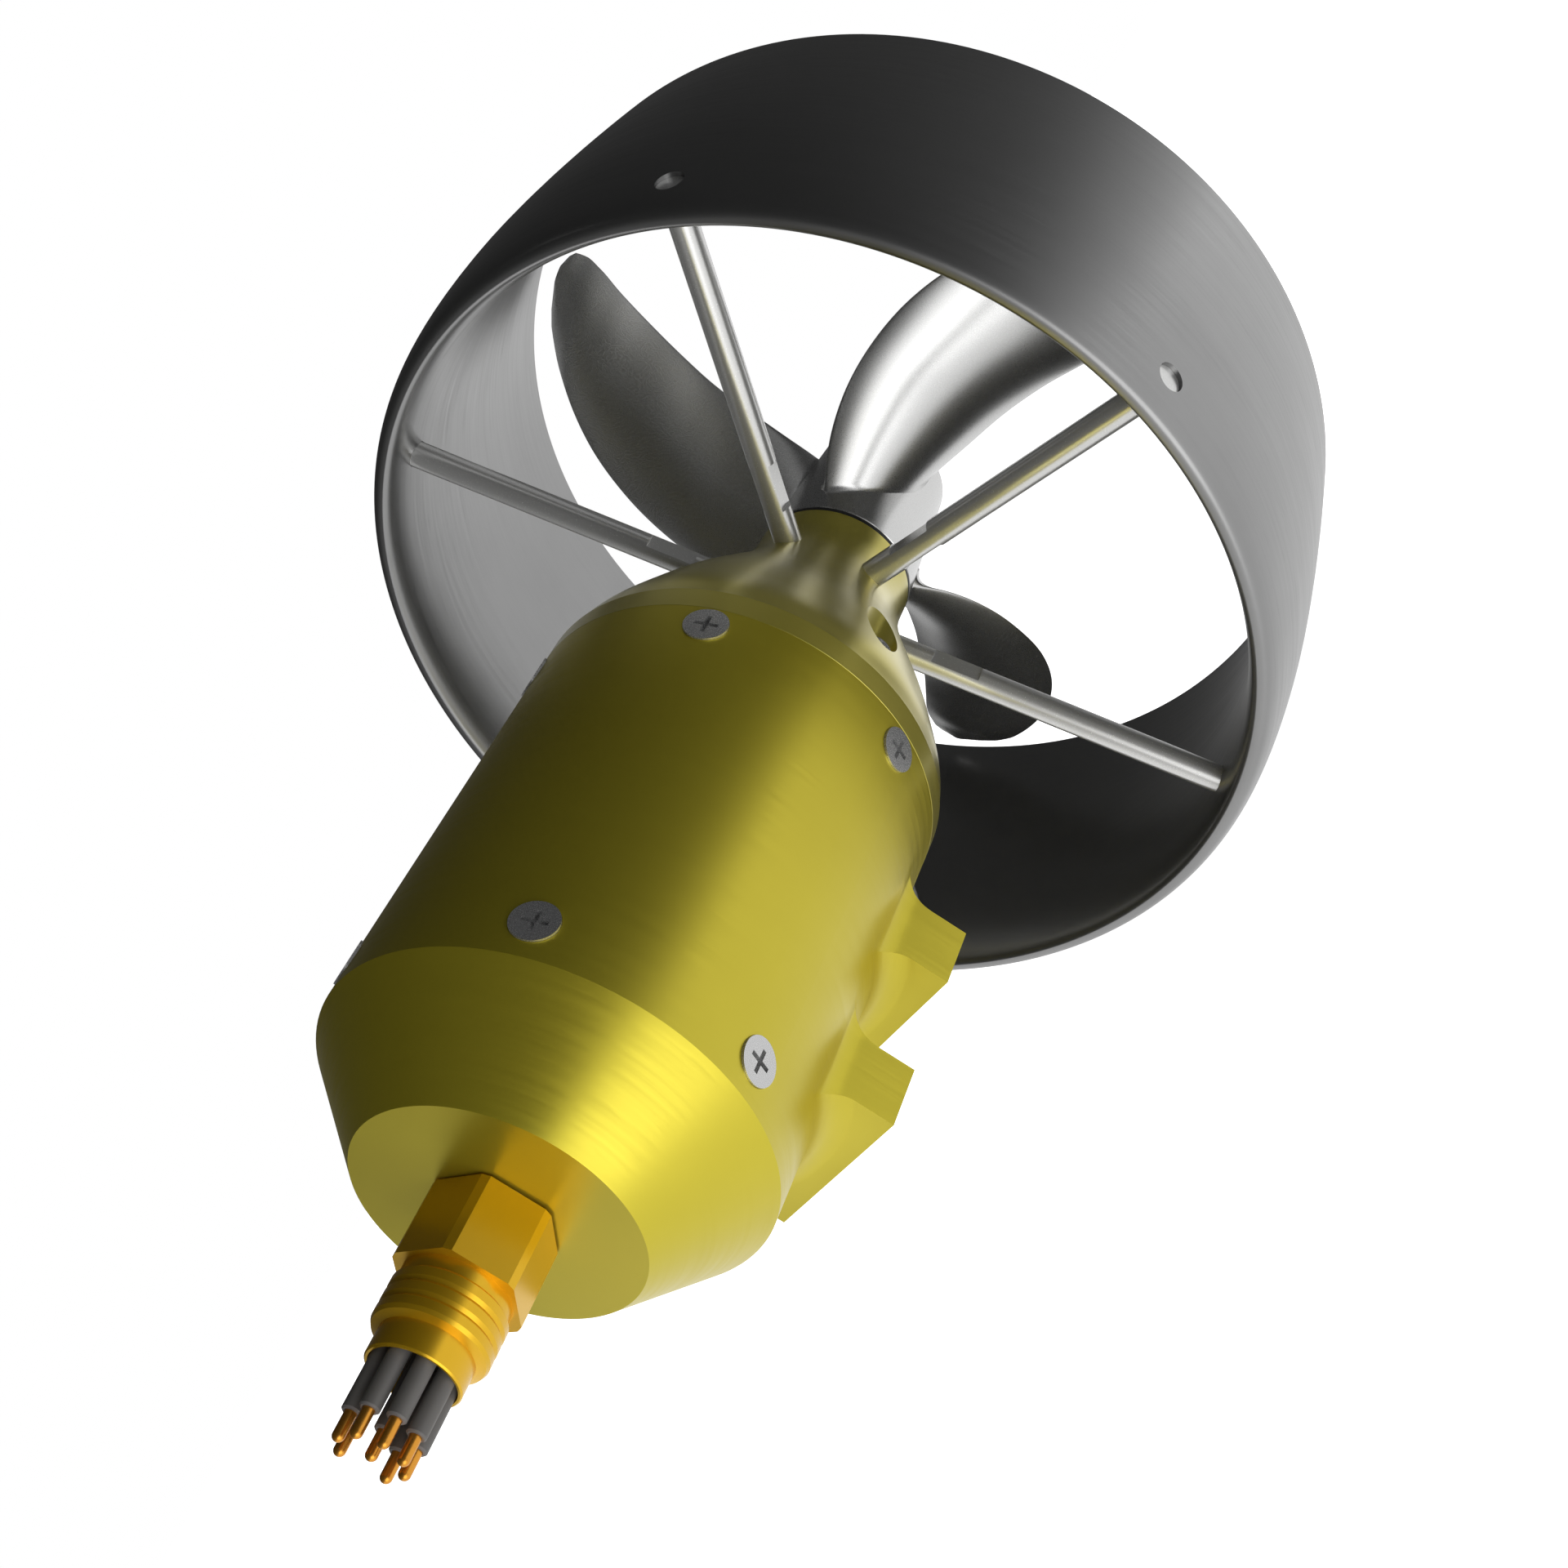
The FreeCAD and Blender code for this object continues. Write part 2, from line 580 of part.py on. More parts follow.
def barrel_profile():
    """Outside of the connector from the hexagon to the mouth, as (x, radius) points."""
    x = CONNECTOR_FACE_X - HEX_LENGTH
    neck_r = NECK_DIAMETER / 2
    band_r = BAND_DIAMETER / 2
    points = [(x, neck_r), (x - NECK_LENGTH, neck_r)]
    x -= NECK_LENGTH
    top_r = RIDGE_DIAMETER / 2
    for _ in range(RIDGE_COUNT):
        points += [(x - 0.2 * RIDGE_PITCH, top_r), (x - 0.75 * RIDGE_PITCH, top_r)]
        x -= RIDGE_PITCH
        points.append((x, RIDGE_ROOT_DIAMETER / 2))
    x -= BEVEL_LENGTH
    end = x - BAND_LENGTH
    points += [(x, band_r), (end + MOUTH_CHAMFER, band_r), (end, band_r - MOUTH_CHAMFER)]
    return points


def mouth_x():
    return barrel_profile()[-1][0]


def hexagon(across_flats, x, length, corner_cut):
    """Hexagonal prism about X with a corner straight down, its corners cut flat if asked."""
    corner_r = across_flats / math.sqrt(3)
    corners = [spoke(a, corner_r) + V(x, 0, 0) for a in angles(6)]
    prism = Part.Face(Part.makePolygon(corners + corners[:1])).extrude(V(length, 0, 0))
    if corner_cut == 0:
        return prism
    cut_r = corner_r - corner_cut
    cutters = []
    for a in angles(6):
        cutter = block(length + 2, across_flats, 4, V(x + length / 2, 0, -(cut_r + 2)))
        cutters.append(turned(cutter, a))
    return prism.cut(cutters)


def connector_shell():
    thread = rod(CONNECTOR_THREAD_DIAMETER / 2, CONNECTOR_FACE_X - 1, SEAL_GAP + TAIL_WALL + 1)
    hex_x = CONNECTOR_FACE_X - HEX_LENGTH
    hexagonal = hexagon(HEX_ACROSS_FLATS, hex_x, HEX_LENGTH, HEX_CORNER_CUT)
    profile = barrel_profile()
    start = hex_x + 1
    barrel = revolved([(start, 0), (start, profile[0][1])] + profile + [(profile[-1][0], 0)])
    mouth = rod(MOUTH_DIAMETER / 2, mouth_x() - 1, TAIL_FACE_X + TAIL_WALL + 1 - mouth_x())
    return fused([hexagonal, thread, barrel]).cut(mouth)


def contact_places():
    """Centres of the contacts: a circle with one place left out, and one in the middle."""
    places = [spoke(a, CONTACT_CIRCLE_RADIUS) for k, a in enumerate(angles(CONTACT_POSITIONS))
              if k != CONTACT_LEFT_OUT]
    return places + [ORIGIN]


def insulator():
    """Moulded block behind the mouth, with a hole for each contact."""
    x = mouth_x() + MOUTH_DEPTH
    body = rod(MOUTH_DIAMETER / 2 - FIT, x, TAIL_FACE_X + TAIL_WALL - 2 - x)
    wide = rod(SLEEVE_DIAMETER / 2 + FIT, x - 1, SLEEVE_SINK + 1)
    narrow = rod(PIN_DIAMETER / 2 + FIT, x, TAIL_FACE_X + TAIL_WALL - x)
    return body.cut(at_contacts(wide) + at_contacts(narrow))


def sleeve():
    start = mouth_x() + MOUTH_DEPTH - SLEEVE_LENGTH
    length = SLEEVE_LENGTH + SLEEVE_SINK - HOLE_CLEARANCE
    body = rod(SLEEVE_DIAMETER / 2, start, length)
    end = edges_where(body, lambda e: e.CenterOfMass.x < start + 0.1 and len(e.Vertexes) == 1)
    body = body.makeChamfer(SLEEVE_CHAMFER, end)
    return body.cut(rod(PIN_DIAMETER / 2 + FIT, start - 1, length + 2))


def pin():
    r = PIN_DIAMETER / 2
    tip = mouth_x() + MOUTH_DEPTH - SLEEVE_LENGTH - PIN_REACH
    shaft = rod(r, tip + r, TAIL_FACE_X + TAIL_WALL - tip)
    return shaft.fuse(Part.makeSphere(r, V(tip + r, 0, 0)))


def at_contacts(shape):
    return [moved(shape, 0, p.y, p.z) for p in contact_places()]


def face_seal():
    inner_r = CONNECTOR_THREAD_DIAMETER / 2 + HOLE_CLEARANCE
    return tube(SEAL_DIAMETER / 2, inner_r, CONNECTOR_FACE_X + FIT, SEAL_GAP - 2 * FIT)


# Propeller

def blade_chord(station):
    """Radius, and the two edges as (angle, x), of one station of the blade."""
    share, lead_angle, lead_x, trail_angle, trail_x = station
    root = HUB_FRONT_DIAMETER / 2 - BLADE_ROOT_SINK
    radius = root + share * (BLADE_RADIUS - root)
    return radius, (lead_angle, HUB_X + lead_x), (trail_angle, HUB_X + trail_x)


def blade_point(station, turn, flat):
    """Point of a blade's outline: the turn runs over one face and back over the other."""
    share = station[0]
    radius, (lead, lead_x), (trail, trail_x) = blade_chord(station)
    span = math.radians(trail - lead) * radius
    rise = trail_x - lead_x
    chord = math.hypot(span, rise)
    thick = BLADE_THICKNESS_TIP + (BLADE_THICKNESS_ROOT - BLADE_THICKNESS_TIP) * (1 - share) ** 1.5
    bend = chord * (BLADE_CAMBER_TIP + (BLADE_CAMBER_ROOT - BLADE_CAMBER_TIP) * (1 - share))
    t = (1 - math.cos(turn)) / 2
    off = thick / 2 * math.sin(turn) * (1 - 0.35 * abs(math.cos(turn)) ** 3) - bend * 4 * t * (1 - t)
    x = lead_x + t * rise + off * span / chord
    angle = math.degrees((t * span - off * rise / chord) / radius) + (lead - trail) / 2
    if flat:
        depth = radius if share > 0.5 else radius * BLADE_ROOT_DEPTH
        return V(x, radius * math.sin(math.radians(angle)), -depth)
    return spoke(angle, radius) + V(x, 0, 0)


def blade_section(station, flat):
    """Closed outline of the blade on a cylinder, or pressed flat for an end."""
    steps = 8
    front = [blade_point(station, math.pi * k / steps, flat) for k in range(steps + 1)]
    back = [blade_point(station, math.pi * k / steps, flat) for k in range(steps + 1, 2 * steps)]
    wire = Part.Wire([spline(front).toShape(), spline([front[-1]] + back + [front[0]]).toShape()])
    return turned(wire, (station[1] + station[3]) / 2)


def blade():
    """Skewed, cambered blade from inside the hub to its rounded tip."""
    ends = (BLADE_STATIONS[0], BLADE_STATIONS[-1])
    sections = [blade_section(ends[0], True)]
    sections += [blade_section(s, False) for s in BLADE_STATIONS[:-1]]
    sections.append(blade_section(ends[1], True))
    return Part.makeLoft(sections, True, False)


def propeller():
    rear_r = HUB_REAR_DIAMETER / 2
    front_r = HUB_FRONT_DIAMETER / 2
    hub = revolved([(HUB_X, 0), (HUB_X, rear_r), (HUB_END_X, front_r), (HUB_END_X, 0)])
    end = edges_where(hub, lambda e: e.CenterOfMass.x > HUB_END_X - 0.1 and len(e.Vertexes) == 1)
    hub = hub.makeFillet(HUB_EDGE_ROUND, end)
    body = fused([hub] + ring_of(blade(), BLADE_COUNT, BLADE_ANGLE))
    bore = rod(SHAFT_DIAMETER / 2 + FIT, HUB_X - 1, HUB_LENGTH + 2)
    slot = block(2 * (DRIVE_PIN_INSET + DRIVE_PIN_DIAMETER / 2 + FIT), DRIVE_PIN_LENGTH + 2 * FIT,
                 DRIVE_PIN_DIAMETER + 2 * FIT, V(HUB_X, 0, 0))
    return body.cut([bore, slot])


def collar_ring():
    """Rubber ring on the shaft, in the gap between the collar and the hub."""
    return tube(COLLAR_DIAMETER / 2 - HOLE_CLEARANCE, SHAFT_DIAMETER / 2 + FIT, COLLAR_X + SIDE_CLEARANCE,
                HUB_GAP - SIDE_CLEARANCE)


def drive_pin():
    start = V(HUB_X + DRIVE_PIN_INSET, -DRIVE_PIN_LENGTH / 2, 0)
    return Part.makeCylinder(DRIVE_PIN_DIAMETER / 2, DRIVE_PIN_LENGTH, start, V(0, 1, 0))


def propeller_nut():
    body = hexagon(NUT_ACROSS_FLATS, HUB_END_X, NUT_LENGTH, 0)
    end_x = HUB_END_X + NUT_LENGTH
    flat_r = NUT_ACROSS_FLATS / 2
    limit = revolved([(HUB_END_X, 0), (HUB_END_X, 2 * flat_r), (end_x - 2.5, flat_r + 2.5),
                      (end_x, flat_r), (end_x, 0)])
    return body.common(limit).cut(rod(NUT_THREAD_DIAMETER / 2 + FIT, HUB_END_X - 1, NUT_LENGTH + 2))


# Shaft, seals and bearings

def output_shaft():
    """Planet carrier and propeller shaft in one piece."""
    carrier_r = CARRIER_DIAMETER / 2
    journal_r = JOURNAL_DIAMETER / 2
    shaft_r = SHAFT_DIAMETER / 2
    thread_r = NUT_THREAD_DIAMETER / 2
    journal_x = CARRIER_X + CARRIER_THICKNESS
    shoulder_x = NOSE_FACE_X + 1.0
    end_x = HUB_END_X + NUT_LENGTH + THREAD_BEYOND_NUT
    seat_x = bearing_seat_x()
    thread_x = HUB_END_X - 1
    body = revolved([(CARRIER_X, 0), (CARRIER_X, carrier_r), (journal_x, carrier_r),
                     (journal_x, journal_r + 2), (seat_x, journal_r + 2), (seat_x, journal_r),
                     (shoulder_x, journal_r), (shoulder_x, shaft_r), (thread_x, shaft_r),
                     (thread_x, thread_r), (end_x - 1, thread_r), (end_x, thread_r - 1), (end_x, 0)])
    pin_hole = rod(PLANET_PIN_DIAMETER / 2 + FIT, CARRIER_X - 1, CARRIER_THICKNESS + 2)
    holes = ring_of(moved(pin_hole, 0, 0, -PLANET_CENTRE_R), PLANET_COUNT)
    side = V(HUB_X + DRIVE_PIN_INSET, -SHAFT_DIAMETER, 0)
    cross = Part.makeCylinder(DRIVE_PIN_DIAMETER / 2 + FIT, 2 * SHAFT_DIAMETER, side, V(0, 1, 0))
    return body.cut(holes + [cross])


def carrier_plate():
    """Rear plate of the planet carrier, open for the sun gear's shaft."""
    plate = tube(CARRIER_DIAMETER / 2, ROTOR_JOURNAL_DIAMETER + 2, CARRIER_REAR_X, CARRIER_REAR_THICKNESS)
    pin_hole = rod(PLANET_PIN_DIAMETER / 2 + FIT, CARRIER_REAR_X - 1, CARRIER_REAR_THICKNESS + 2)
    return plate.cut(ring_of(moved(pin_hole, 0, 0, -PLANET_CENTRE_R), PLANET_COUNT))


def planet_pin():
    body = rod(PLANET_PIN_DIAMETER / 2, CARRIER_REAR_X, CARRIER_X + CARRIER_THICKNESS - CARRIER_REAR_X)
    return moved(body, 0, 0, -PLANET_CENTRE_R)


def bearing_seat_x():
    """Rear face of the carrier's bearing, which sits flush with the gearbox's front."""
    return NOSE_FACE_X - 1.0 - CARRIER_BEARING_WIDTH


def lip_seal(x):
    """Rubber seal: flange, outer wall and a lip that runs on the shaft."""
    outer_r = LIP_SEAL_OD / 2
    shaft_r = SHAFT_DIAMETER / 2 + RUNNING
    wide = LIP_SEAL_WIDTH
    return revolved([(x, outer_r), (x, outer_r - 2.0), (x + wide - 2.0, outer_r - 2.0),
                     (x + wide - 2.6, shaft_r + 1.6), (x + 1.2, shaft_r + 1.2), (x + 1.2, shaft_r),
                     (x + 2.4, shaft_r), (x + wide, shaft_r + 0.8), (x + wide, outer_r)])


def circlip_groove():
    bore_r = SHAFT_BEARING_OD / 2
    start = SHAFT_BEARING_X - CIRCLIP_WIDTH - FIT
    return tube(bore_r + CIRCLIP_DEPTH + FIT, bore_r - 1, start, CIRCLIP_WIDTH)


def circlip():
    bore_r = SHAFT_BEARING_OD / 2
    start = SHAFT_BEARING_X - CIRCLIP_WIDTH
    ring = tube(bore_r + CIRCLIP_DEPTH, bore_r - 1.6, start, CIRCLIP_WIDTH - 2 * FIT)
    gap = block(CIRCLIP_WIDTH * 3, 6, SHAFT_BEARING_OD, V(SHAFT_BEARING_X, 0, -SHAFT_BEARING_OD / 2))
    return ring.cut(gap)


def ball_radius(bore, outside, width):
    return min((outside - bore) / 2 * 0.3, width * 0.34)


def ball_bearing(bore, outside, width, x):
    """Outer ring, inner ring and ball set of a bearing whose rear face is at x."""
    pitch_r = (bore + outside) / 4
    ball_r = ball_radius(bore, outside, width)
    land = ball_r * 0.55
    race = moved(Part.makeTorus(pitch_r, ball_r + RUNNING, ORIGIN, AXIS), x + width / 2)
    outer = tube(outside / 2, pitch_r + land, x, width).cut(race)
    inner = tube(pitch_r - land, bore / 2 + RUNNING, x, width).cut(race)
    count = int(math.pi * 2 * pitch_r / (ball_r * 2.6))
    middle = x + width / 2
    centres = [spoke(a, pitch_r) + V(middle, 0, 0) for a in angles(count)]
    balls = [Part.makeSphere(ball_r, c) for c in centres]
    cage = tube(pitch_r + land * 0.55, pitch_r - land * 0.55, middle - ball_r * 0.8, ball_r * 1.6)
    pockets = [Part.makeSphere(ball_r + RUNNING, c) for c in centres]
    return outer, inner, balls + [cage.cut(pockets)]


# Planetary gear

def involute(base_r, radius, turn, side):
    """Point of an involute that crosses its circle at a turn, on either flank."""
    roll = math.sqrt(max(0.0, (radius / base_r) ** 2 - 1))
    angle = turn - side * (roll - math.atan(roll))
    return spoke(math.degrees(angle), radius)


def gear_outline(teeth, tip_r, root_r, half_tooth):
    """Closed outline with involute flanks, with a tooth straight down."""
    pitch_r = GEAR_MODULE * teeth / 2
    base_r = pitch_r * math.cos(math.radians(PRESSURE_ANGLE))
    roll = math.tan(math.radians(PRESSURE_ANGLE))
    at_base = half_tooth / pitch_r + roll - math.radians(PRESSURE_ANGLE)
    low_r = max(min(tip_r, root_r), base_r)
    high_r = max(tip_r, root_r)
    radii = [low_r + (high_r - low_r) * k / 4 for k in range(5)]
    foot_r = min(tip_r, root_r)
    edges = []
    step = 2 * math.pi / teeth
    for k in range(teeth):
        middle = k * step
        left = [involute(base_r, r, middle - at_base, -1) for r in radii]
        right = [involute(base_r, r, middle + at_base, 1) for r in radii]
        left_foot, right_foot = left[0], right[0]
        next_foot = involute(base_r, radii[0], middle + step - at_base, -1)
        if foot_r < base_r:
            left_foot = spoke(math.degrees(middle - at_base), foot_r)
            right_foot = spoke(math.degrees(middle + at_base), foot_r)
            next_foot = spoke(math.degrees(middle + step - at_base), foot_r)
            edges += [Part.makeLine(left_foot, left[0]), Part.makeLine(right[0], right_foot)]
        valley = spoke(math.degrees(middle + step / 2), right_foot.Length)
        edges.append(spline(left).toShape())
        edges.append(Part.Arc(left[-1], spoke(math.degrees(middle), high_r), right[-1]).toShape())
        edges.append(spline(right[::-1]).toShape())
        edges.append(Part.Arc(right_foot, valley, next_foot).toShape())
    return Part.Face(Part.Wire(Part.__sortEdges__(edges)))


def tooth_half(sign):
    return (math.pi * GEAR_MODULE / 2 - sign * BACKLASH / 2) / 2


def outer_gear(teeth, bore_r):
    """Spur gear about X at its working place along X, with a tooth straight down."""
    pitch_r = GEAR_MODULE * teeth / 2
    tip_r = pitch_r + 0.95 * GEAR_MODULE
    face = gear_outline(teeth, tip_r, pitch_r - 1.25 * GEAR_MODULE, tooth_half(1))
    body = moved(face.extrude(V(GEAR_WIDTH, 0, 0)), GEAR_X)
    return body.cut(rod(bore_r, GEAR_X - 1, GEAR_WIDTH + 2))


def planet_gear():
    gear = outer_gear(PLANET_TEETH, PLANET_PIN_DIAMETER / 2 + RUNNING)
    gear = turned(gear, 180.0 / PLANET_TEETH)
    return moved(gear, 0, 0, -PLANET_CENTRE_R)


def ring_gear():
    """Internal gear with a tooth straight down, pressed into the gearbox."""
    pitch_r = GEAR_MODULE * RING_TEETH / 2
    tip_r = pitch_r + 1.25 * GEAR_MODULE
    outline = gear_outline(RING_TEETH, tip_r, pitch_r - 0.95 * GEAR_MODULE, tooth_half(-1))
    spaces = moved(outline.extrude(V(GEAR_WIDTH + 2, 0, 0)), GEAR_X - 1)
    spaces = turned(spaces, 180.0 / RING_TEETH)
    return rod(GEARBOX_BORE / 2 - FIT, GEAR_X, GEAR_WIDTH).cut(spaces)


def gearbox():
    """Cup between the motor and the nose that holds the ring gear and the carrier's bearing."""
    rear_x = FRONT_PLATE_X + PLATE_THICKNESS + HOLE_CLEARANCE
    outer = rod(GEARBOX_OD / 2, rear_x, NOSE_FACE_X - HOLE_CLEARANCE - rear_x)
    hollow = rod(GEARBOX_BORE / 2, rear_x - 1, GEARBOX_FRONT_X - rear_x + 1)
    passage = rod(JOURNAL_DIAMETER / 2 + 2.6, GEARBOX_FRONT_X - 1, GEARBOX_FRONT_WALL + 2)
    seat = rod(CARRIER_BEARING_OD / 2 + FIT, bearing_seat_x() - FIT, GEARBOX_FRONT_WALL)
    return outer.cut([hollow, passage, seat])


# Motor

def motor_plate(x, seat_x):
    """End plate with a seat for one motor bearing."""
    plate = rod(BORE_R - FIT, x, PLATE_THICKNESS)
    seat = rod(MOTOR_BEARING_OD / 2 + FIT, seat_x, MOTOR_BEARING_WIDTH + 1)
    return plate.cut([seat, rod(ROTOR_JOURNAL_DIAMETER / 2 + 2, x - 1, PLATE_THICKNESS + 2)])


def front_bearing_x():
    return FRONT_PLATE_X - FIT


def rear_bearing_x():
    return REAR_PLATE_X + PLATE_THICKNESS - MOTOR_BEARING_WIDTH + FIT


def tooth():
    """One stator tooth that points down, with its shoe at the bore."""
    inner = STATOR_BORE / 2
    outer = BORE_R - STATOR_YOKE + 2
    middle_x = STATOR_X + STATOR_LENGTH / 2
    stem = block(STATOR_LENGTH, TOOTH_WIDTH, outer - inner, V(middle_x, 0, -(inner + outer) / 2))
    shoe_centre = V(middle_x, 0, -(inner + SHOE_HEIGHT / 2))
    return stem.fuse(block(STATOR_LENGTH, SHOE_WIDTH, SHOE_HEIGHT + 1, shoe_centre))


def stator_core():
    yoke = tube(BORE_R - FIT, BORE_R - STATOR_YOKE, STATOR_X, STATOR_LENGTH)
    body = fused([yoke] + ring_of(tooth(), STATOR_TEETH))
    return body.cut(rod(STATOR_BORE / 2, STATOR_X - 1, STATOR_LENGTH + 2))


def coil():
    """Winding round one stator tooth."""
    bottom = STATOR_BORE / 2 + SHOE_HEIGHT + 0.6
    top = BORE_R - STATOR_YOKE - 0.9
    middle = V(STATOR_X + STATOR_LENGTH / 2, 0, -(bottom + top) / 2)
    inner_long = STATOR_LENGTH + 2 * COIL_GAP
    inner_wide = TOOTH_WIDTH + 2 * COIL_GAP
    build = 2 * COIL_BUILD
    around = block(inner_long + build, inner_wide + build, top - bottom, middle)
    return around.cut(block(inner_long, inner_wide, top - bottom + 1, middle))


def rotor_shaft():
    """Motor shaft: thick under the rotor, journals in the bearings, sun gear's seat in front."""
    thick = ROTOR_SHAFT_DIAMETER / 2
    thin = ROTOR_JOURNAL_DIAMETER / 2
    start = REAR_PLATE_X + 0.5
    shoulders = (STATOR_X - 2.5, STATOR_X + STATOR_LENGTH + 2.5)
    end = GEAR_X + GEAR_WIDTH
    return revolved([(start, 0), (start, thin), (shoulders[0], thin), (shoulders[0], thick),
                     (shoulders[1], thick), (shoulders[1], thin), (end, thin), (end, 0)])


def rotor_outer_radius():
    return STATOR_BORE / 2 - AIR_GAP


def rotor_core():
    outer_r = rotor_outer_radius() - MAGNET_THICKNESS - FIT
    return tube(outer_r, ROTOR_SHAFT_DIAMETER / 2 + FIT, STATOR_X, STATOR_LENGTH)


def magnet():
    outer_r = rotor_outer_radius()
    ring = tube(outer_r, outer_r - MAGNET_THICKNESS, STATOR_X, STATOR_LENGTH)
    half = math.radians(MAGNET_ARC / 2)
    reach = 2 * STATOR_BORE
    corners = [ORIGIN, spoke(-math.degrees(half), reach), spoke(math.degrees(half), reach), ORIGIN]
    wedge = Part.Face(Part.makePolygon(corners)).extrude(V(STATOR_LENGTH, 0, 0))
    return ring.common(moved(wedge, STATOR_X))


# Controller

def board():
    disc = rod(BOARD_DIAMETER / 2, BOARD_X, BOARD_THICKNESS)
    return disc.cut(rod(4.0, BOARD_X - 1, BOARD_THICKNESS + 2))


def standoff():
    body = rod(STANDOFF_DIAMETER / 2, BOARD_X + BOARD_THICKNESS, STANDOFF_LENGTH)
    return moved(body, 0, 0, -STANDOFF_CIRCLE_RADIUS)


def capacitor():
    body = rod(CAPACITOR_DIAMETER / 2, BOARD_X - CAPACITOR_LENGTH, CAPACITOR_LENGTH)
    return moved(body, 0, 0, -CAPACITOR_CIRCLE_RADIUS)


def transistor():
    deep, wide, high = TRANSISTOR_SIZE
    return block(deep, wide, high, V(BOARD_X + BOARD_THICKNESS + deep / 2, 0, -TRANSISTOR_CIRCLE_RADIUS))


def build():
    os.makedirs("parts", exist_ok=True)
    export("motor_housing", housing())
    export("tail_cone", tail_cone())
    export("nose", nose())
    export("tail_screws", ring_of(screw(TAIL_X + TAIL_SCREW_INSET), SCREW_COUNT))
    export("nose_screws", ring_of(screw(NOSE_X - NOSE_SCREW_INSET), SCREW_COUNT))
    export("tail_oring", oring(TAIL_X + TAIL_ORING_INSET))
    export("nose_oring", oring(NOSE_X - NOSE_ORING_INSET))
    export("bleed_screws", ring_of(bleed_screw(), BLEED_COUNT, SPOKE_FIRST_ANGLE))
    for k, a in enumerate(angles(SPOKE_COUNT, SPOKE_FIRST_ANGLE)):
        export("spoke_" + str(k + 1), turned(straight_spoke(), a))
    export("duct", duct())
    export("connector_shell", connector_shell())
    export("connector_insulator", insulator())
    export("contact_sleeves", at_contacts(sleeve()))
    export("contact_pins", at_contacts(pin()))
    export("connector_seal", face_seal())
    export("propeller", propeller())
    export("collar_ring", collar_ring())
    export("drive_pin", drive_pin())
    export("propeller_nut", propeller_nut())
    export("output_shaft", output_shaft())
    export("carrier_plate", carrier_plate())
    export("planet_pins", ring_of(planet_pin(), PLANET_COUNT))
    export("front_lip_seal", lip_seal(FRONT_SEAL_X))
    export("rear_lip_seal", lip_seal(REAR_SEAL_X))
    export("bearing_circlip", circlip())
    shaft = (SHAFT_DIAMETER, SHAFT_BEARING_OD, SHAFT_BEARING_WIDTH)
    carrier = (JOURNAL_DIAMETER, CARRIER_BEARING_OD, CARRIER_BEARING_WIDTH)
    motor = (ROTOR_JOURNAL_DIAMETER, MOTOR_BEARING_OD, MOTOR_BEARING_WIDTH)
    bearings = {"shaft_bearing": (shaft, SHAFT_BEARING_X),
                "carrier_bearing": (carrier, bearing_seat_x()),
                "motor_front_bearing": (motor, front_bearing_x()),
                "motor_rear_bearing": (motor, rear_bearing_x())}
    for name, (sizes, x) in bearings.items():
        outer, inner, balls = ball_bearing(*sizes, x)
        export(name + "_outer_ring", outer)
        export(name + "_inner_ring", inner)
        export(name + "_balls", balls)
    export("gearbox_housing", gearbox())
    export("ring_gear", ring_gear())
    for k, a in enumerate(angles(PLANET_COUNT)):
        export("planet_gear_" + str(k + 1), turned(planet_gear(), a))
    export("sun_gear", outer_gear(SUN_TEETH, ROTOR_JOURNAL_DIAMETER / 2 + FIT))
    export("rotor_shaft", rotor_shaft())
    export("rotor_core", rotor_core())
    export("rotor_magnets", ring_of(magnet(), MAGNET_COUNT))
    export("stator_core", stator_core())
    export("stator_windings", ring_of(coil(), STATOR_TEETH))
    export("motor_front_plate", motor_plate(FRONT_PLATE_X, front_bearing_x() - 1))
    export("motor_rear_plate", motor_plate(REAR_PLATE_X, rear_bearing_x()))
    export("controller_board", board())
    export("board_standoffs", ring_of(standoff(), 4, 45))
    export("board_capacitors", ring_of(capacitor(), 3, 30))
    export("power_transistors", ring_of(transistor(), 6))


build()
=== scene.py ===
import json
import math

import bmesh
import bpy
import numpy as np
from mathutils import Matrix

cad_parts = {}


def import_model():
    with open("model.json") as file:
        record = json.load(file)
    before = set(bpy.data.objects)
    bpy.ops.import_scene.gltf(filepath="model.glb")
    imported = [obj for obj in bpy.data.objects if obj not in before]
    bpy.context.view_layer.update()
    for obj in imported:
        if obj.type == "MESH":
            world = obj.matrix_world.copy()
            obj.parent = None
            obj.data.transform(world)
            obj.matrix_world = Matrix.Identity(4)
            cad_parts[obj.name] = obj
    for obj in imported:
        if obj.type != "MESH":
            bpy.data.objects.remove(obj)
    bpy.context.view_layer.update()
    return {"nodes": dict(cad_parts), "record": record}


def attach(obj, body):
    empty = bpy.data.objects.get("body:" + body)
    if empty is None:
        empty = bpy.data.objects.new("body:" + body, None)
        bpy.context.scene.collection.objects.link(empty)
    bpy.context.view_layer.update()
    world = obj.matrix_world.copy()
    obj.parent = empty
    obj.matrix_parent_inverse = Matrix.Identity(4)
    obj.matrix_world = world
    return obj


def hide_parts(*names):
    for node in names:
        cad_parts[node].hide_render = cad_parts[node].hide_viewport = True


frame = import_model()
nodes = frame["nodes"]

# Sizes of the thruster, in metres, with x along its axis from the feet's middle
AXIS_HEIGHT = 0.0542
BODY_R = 0.045

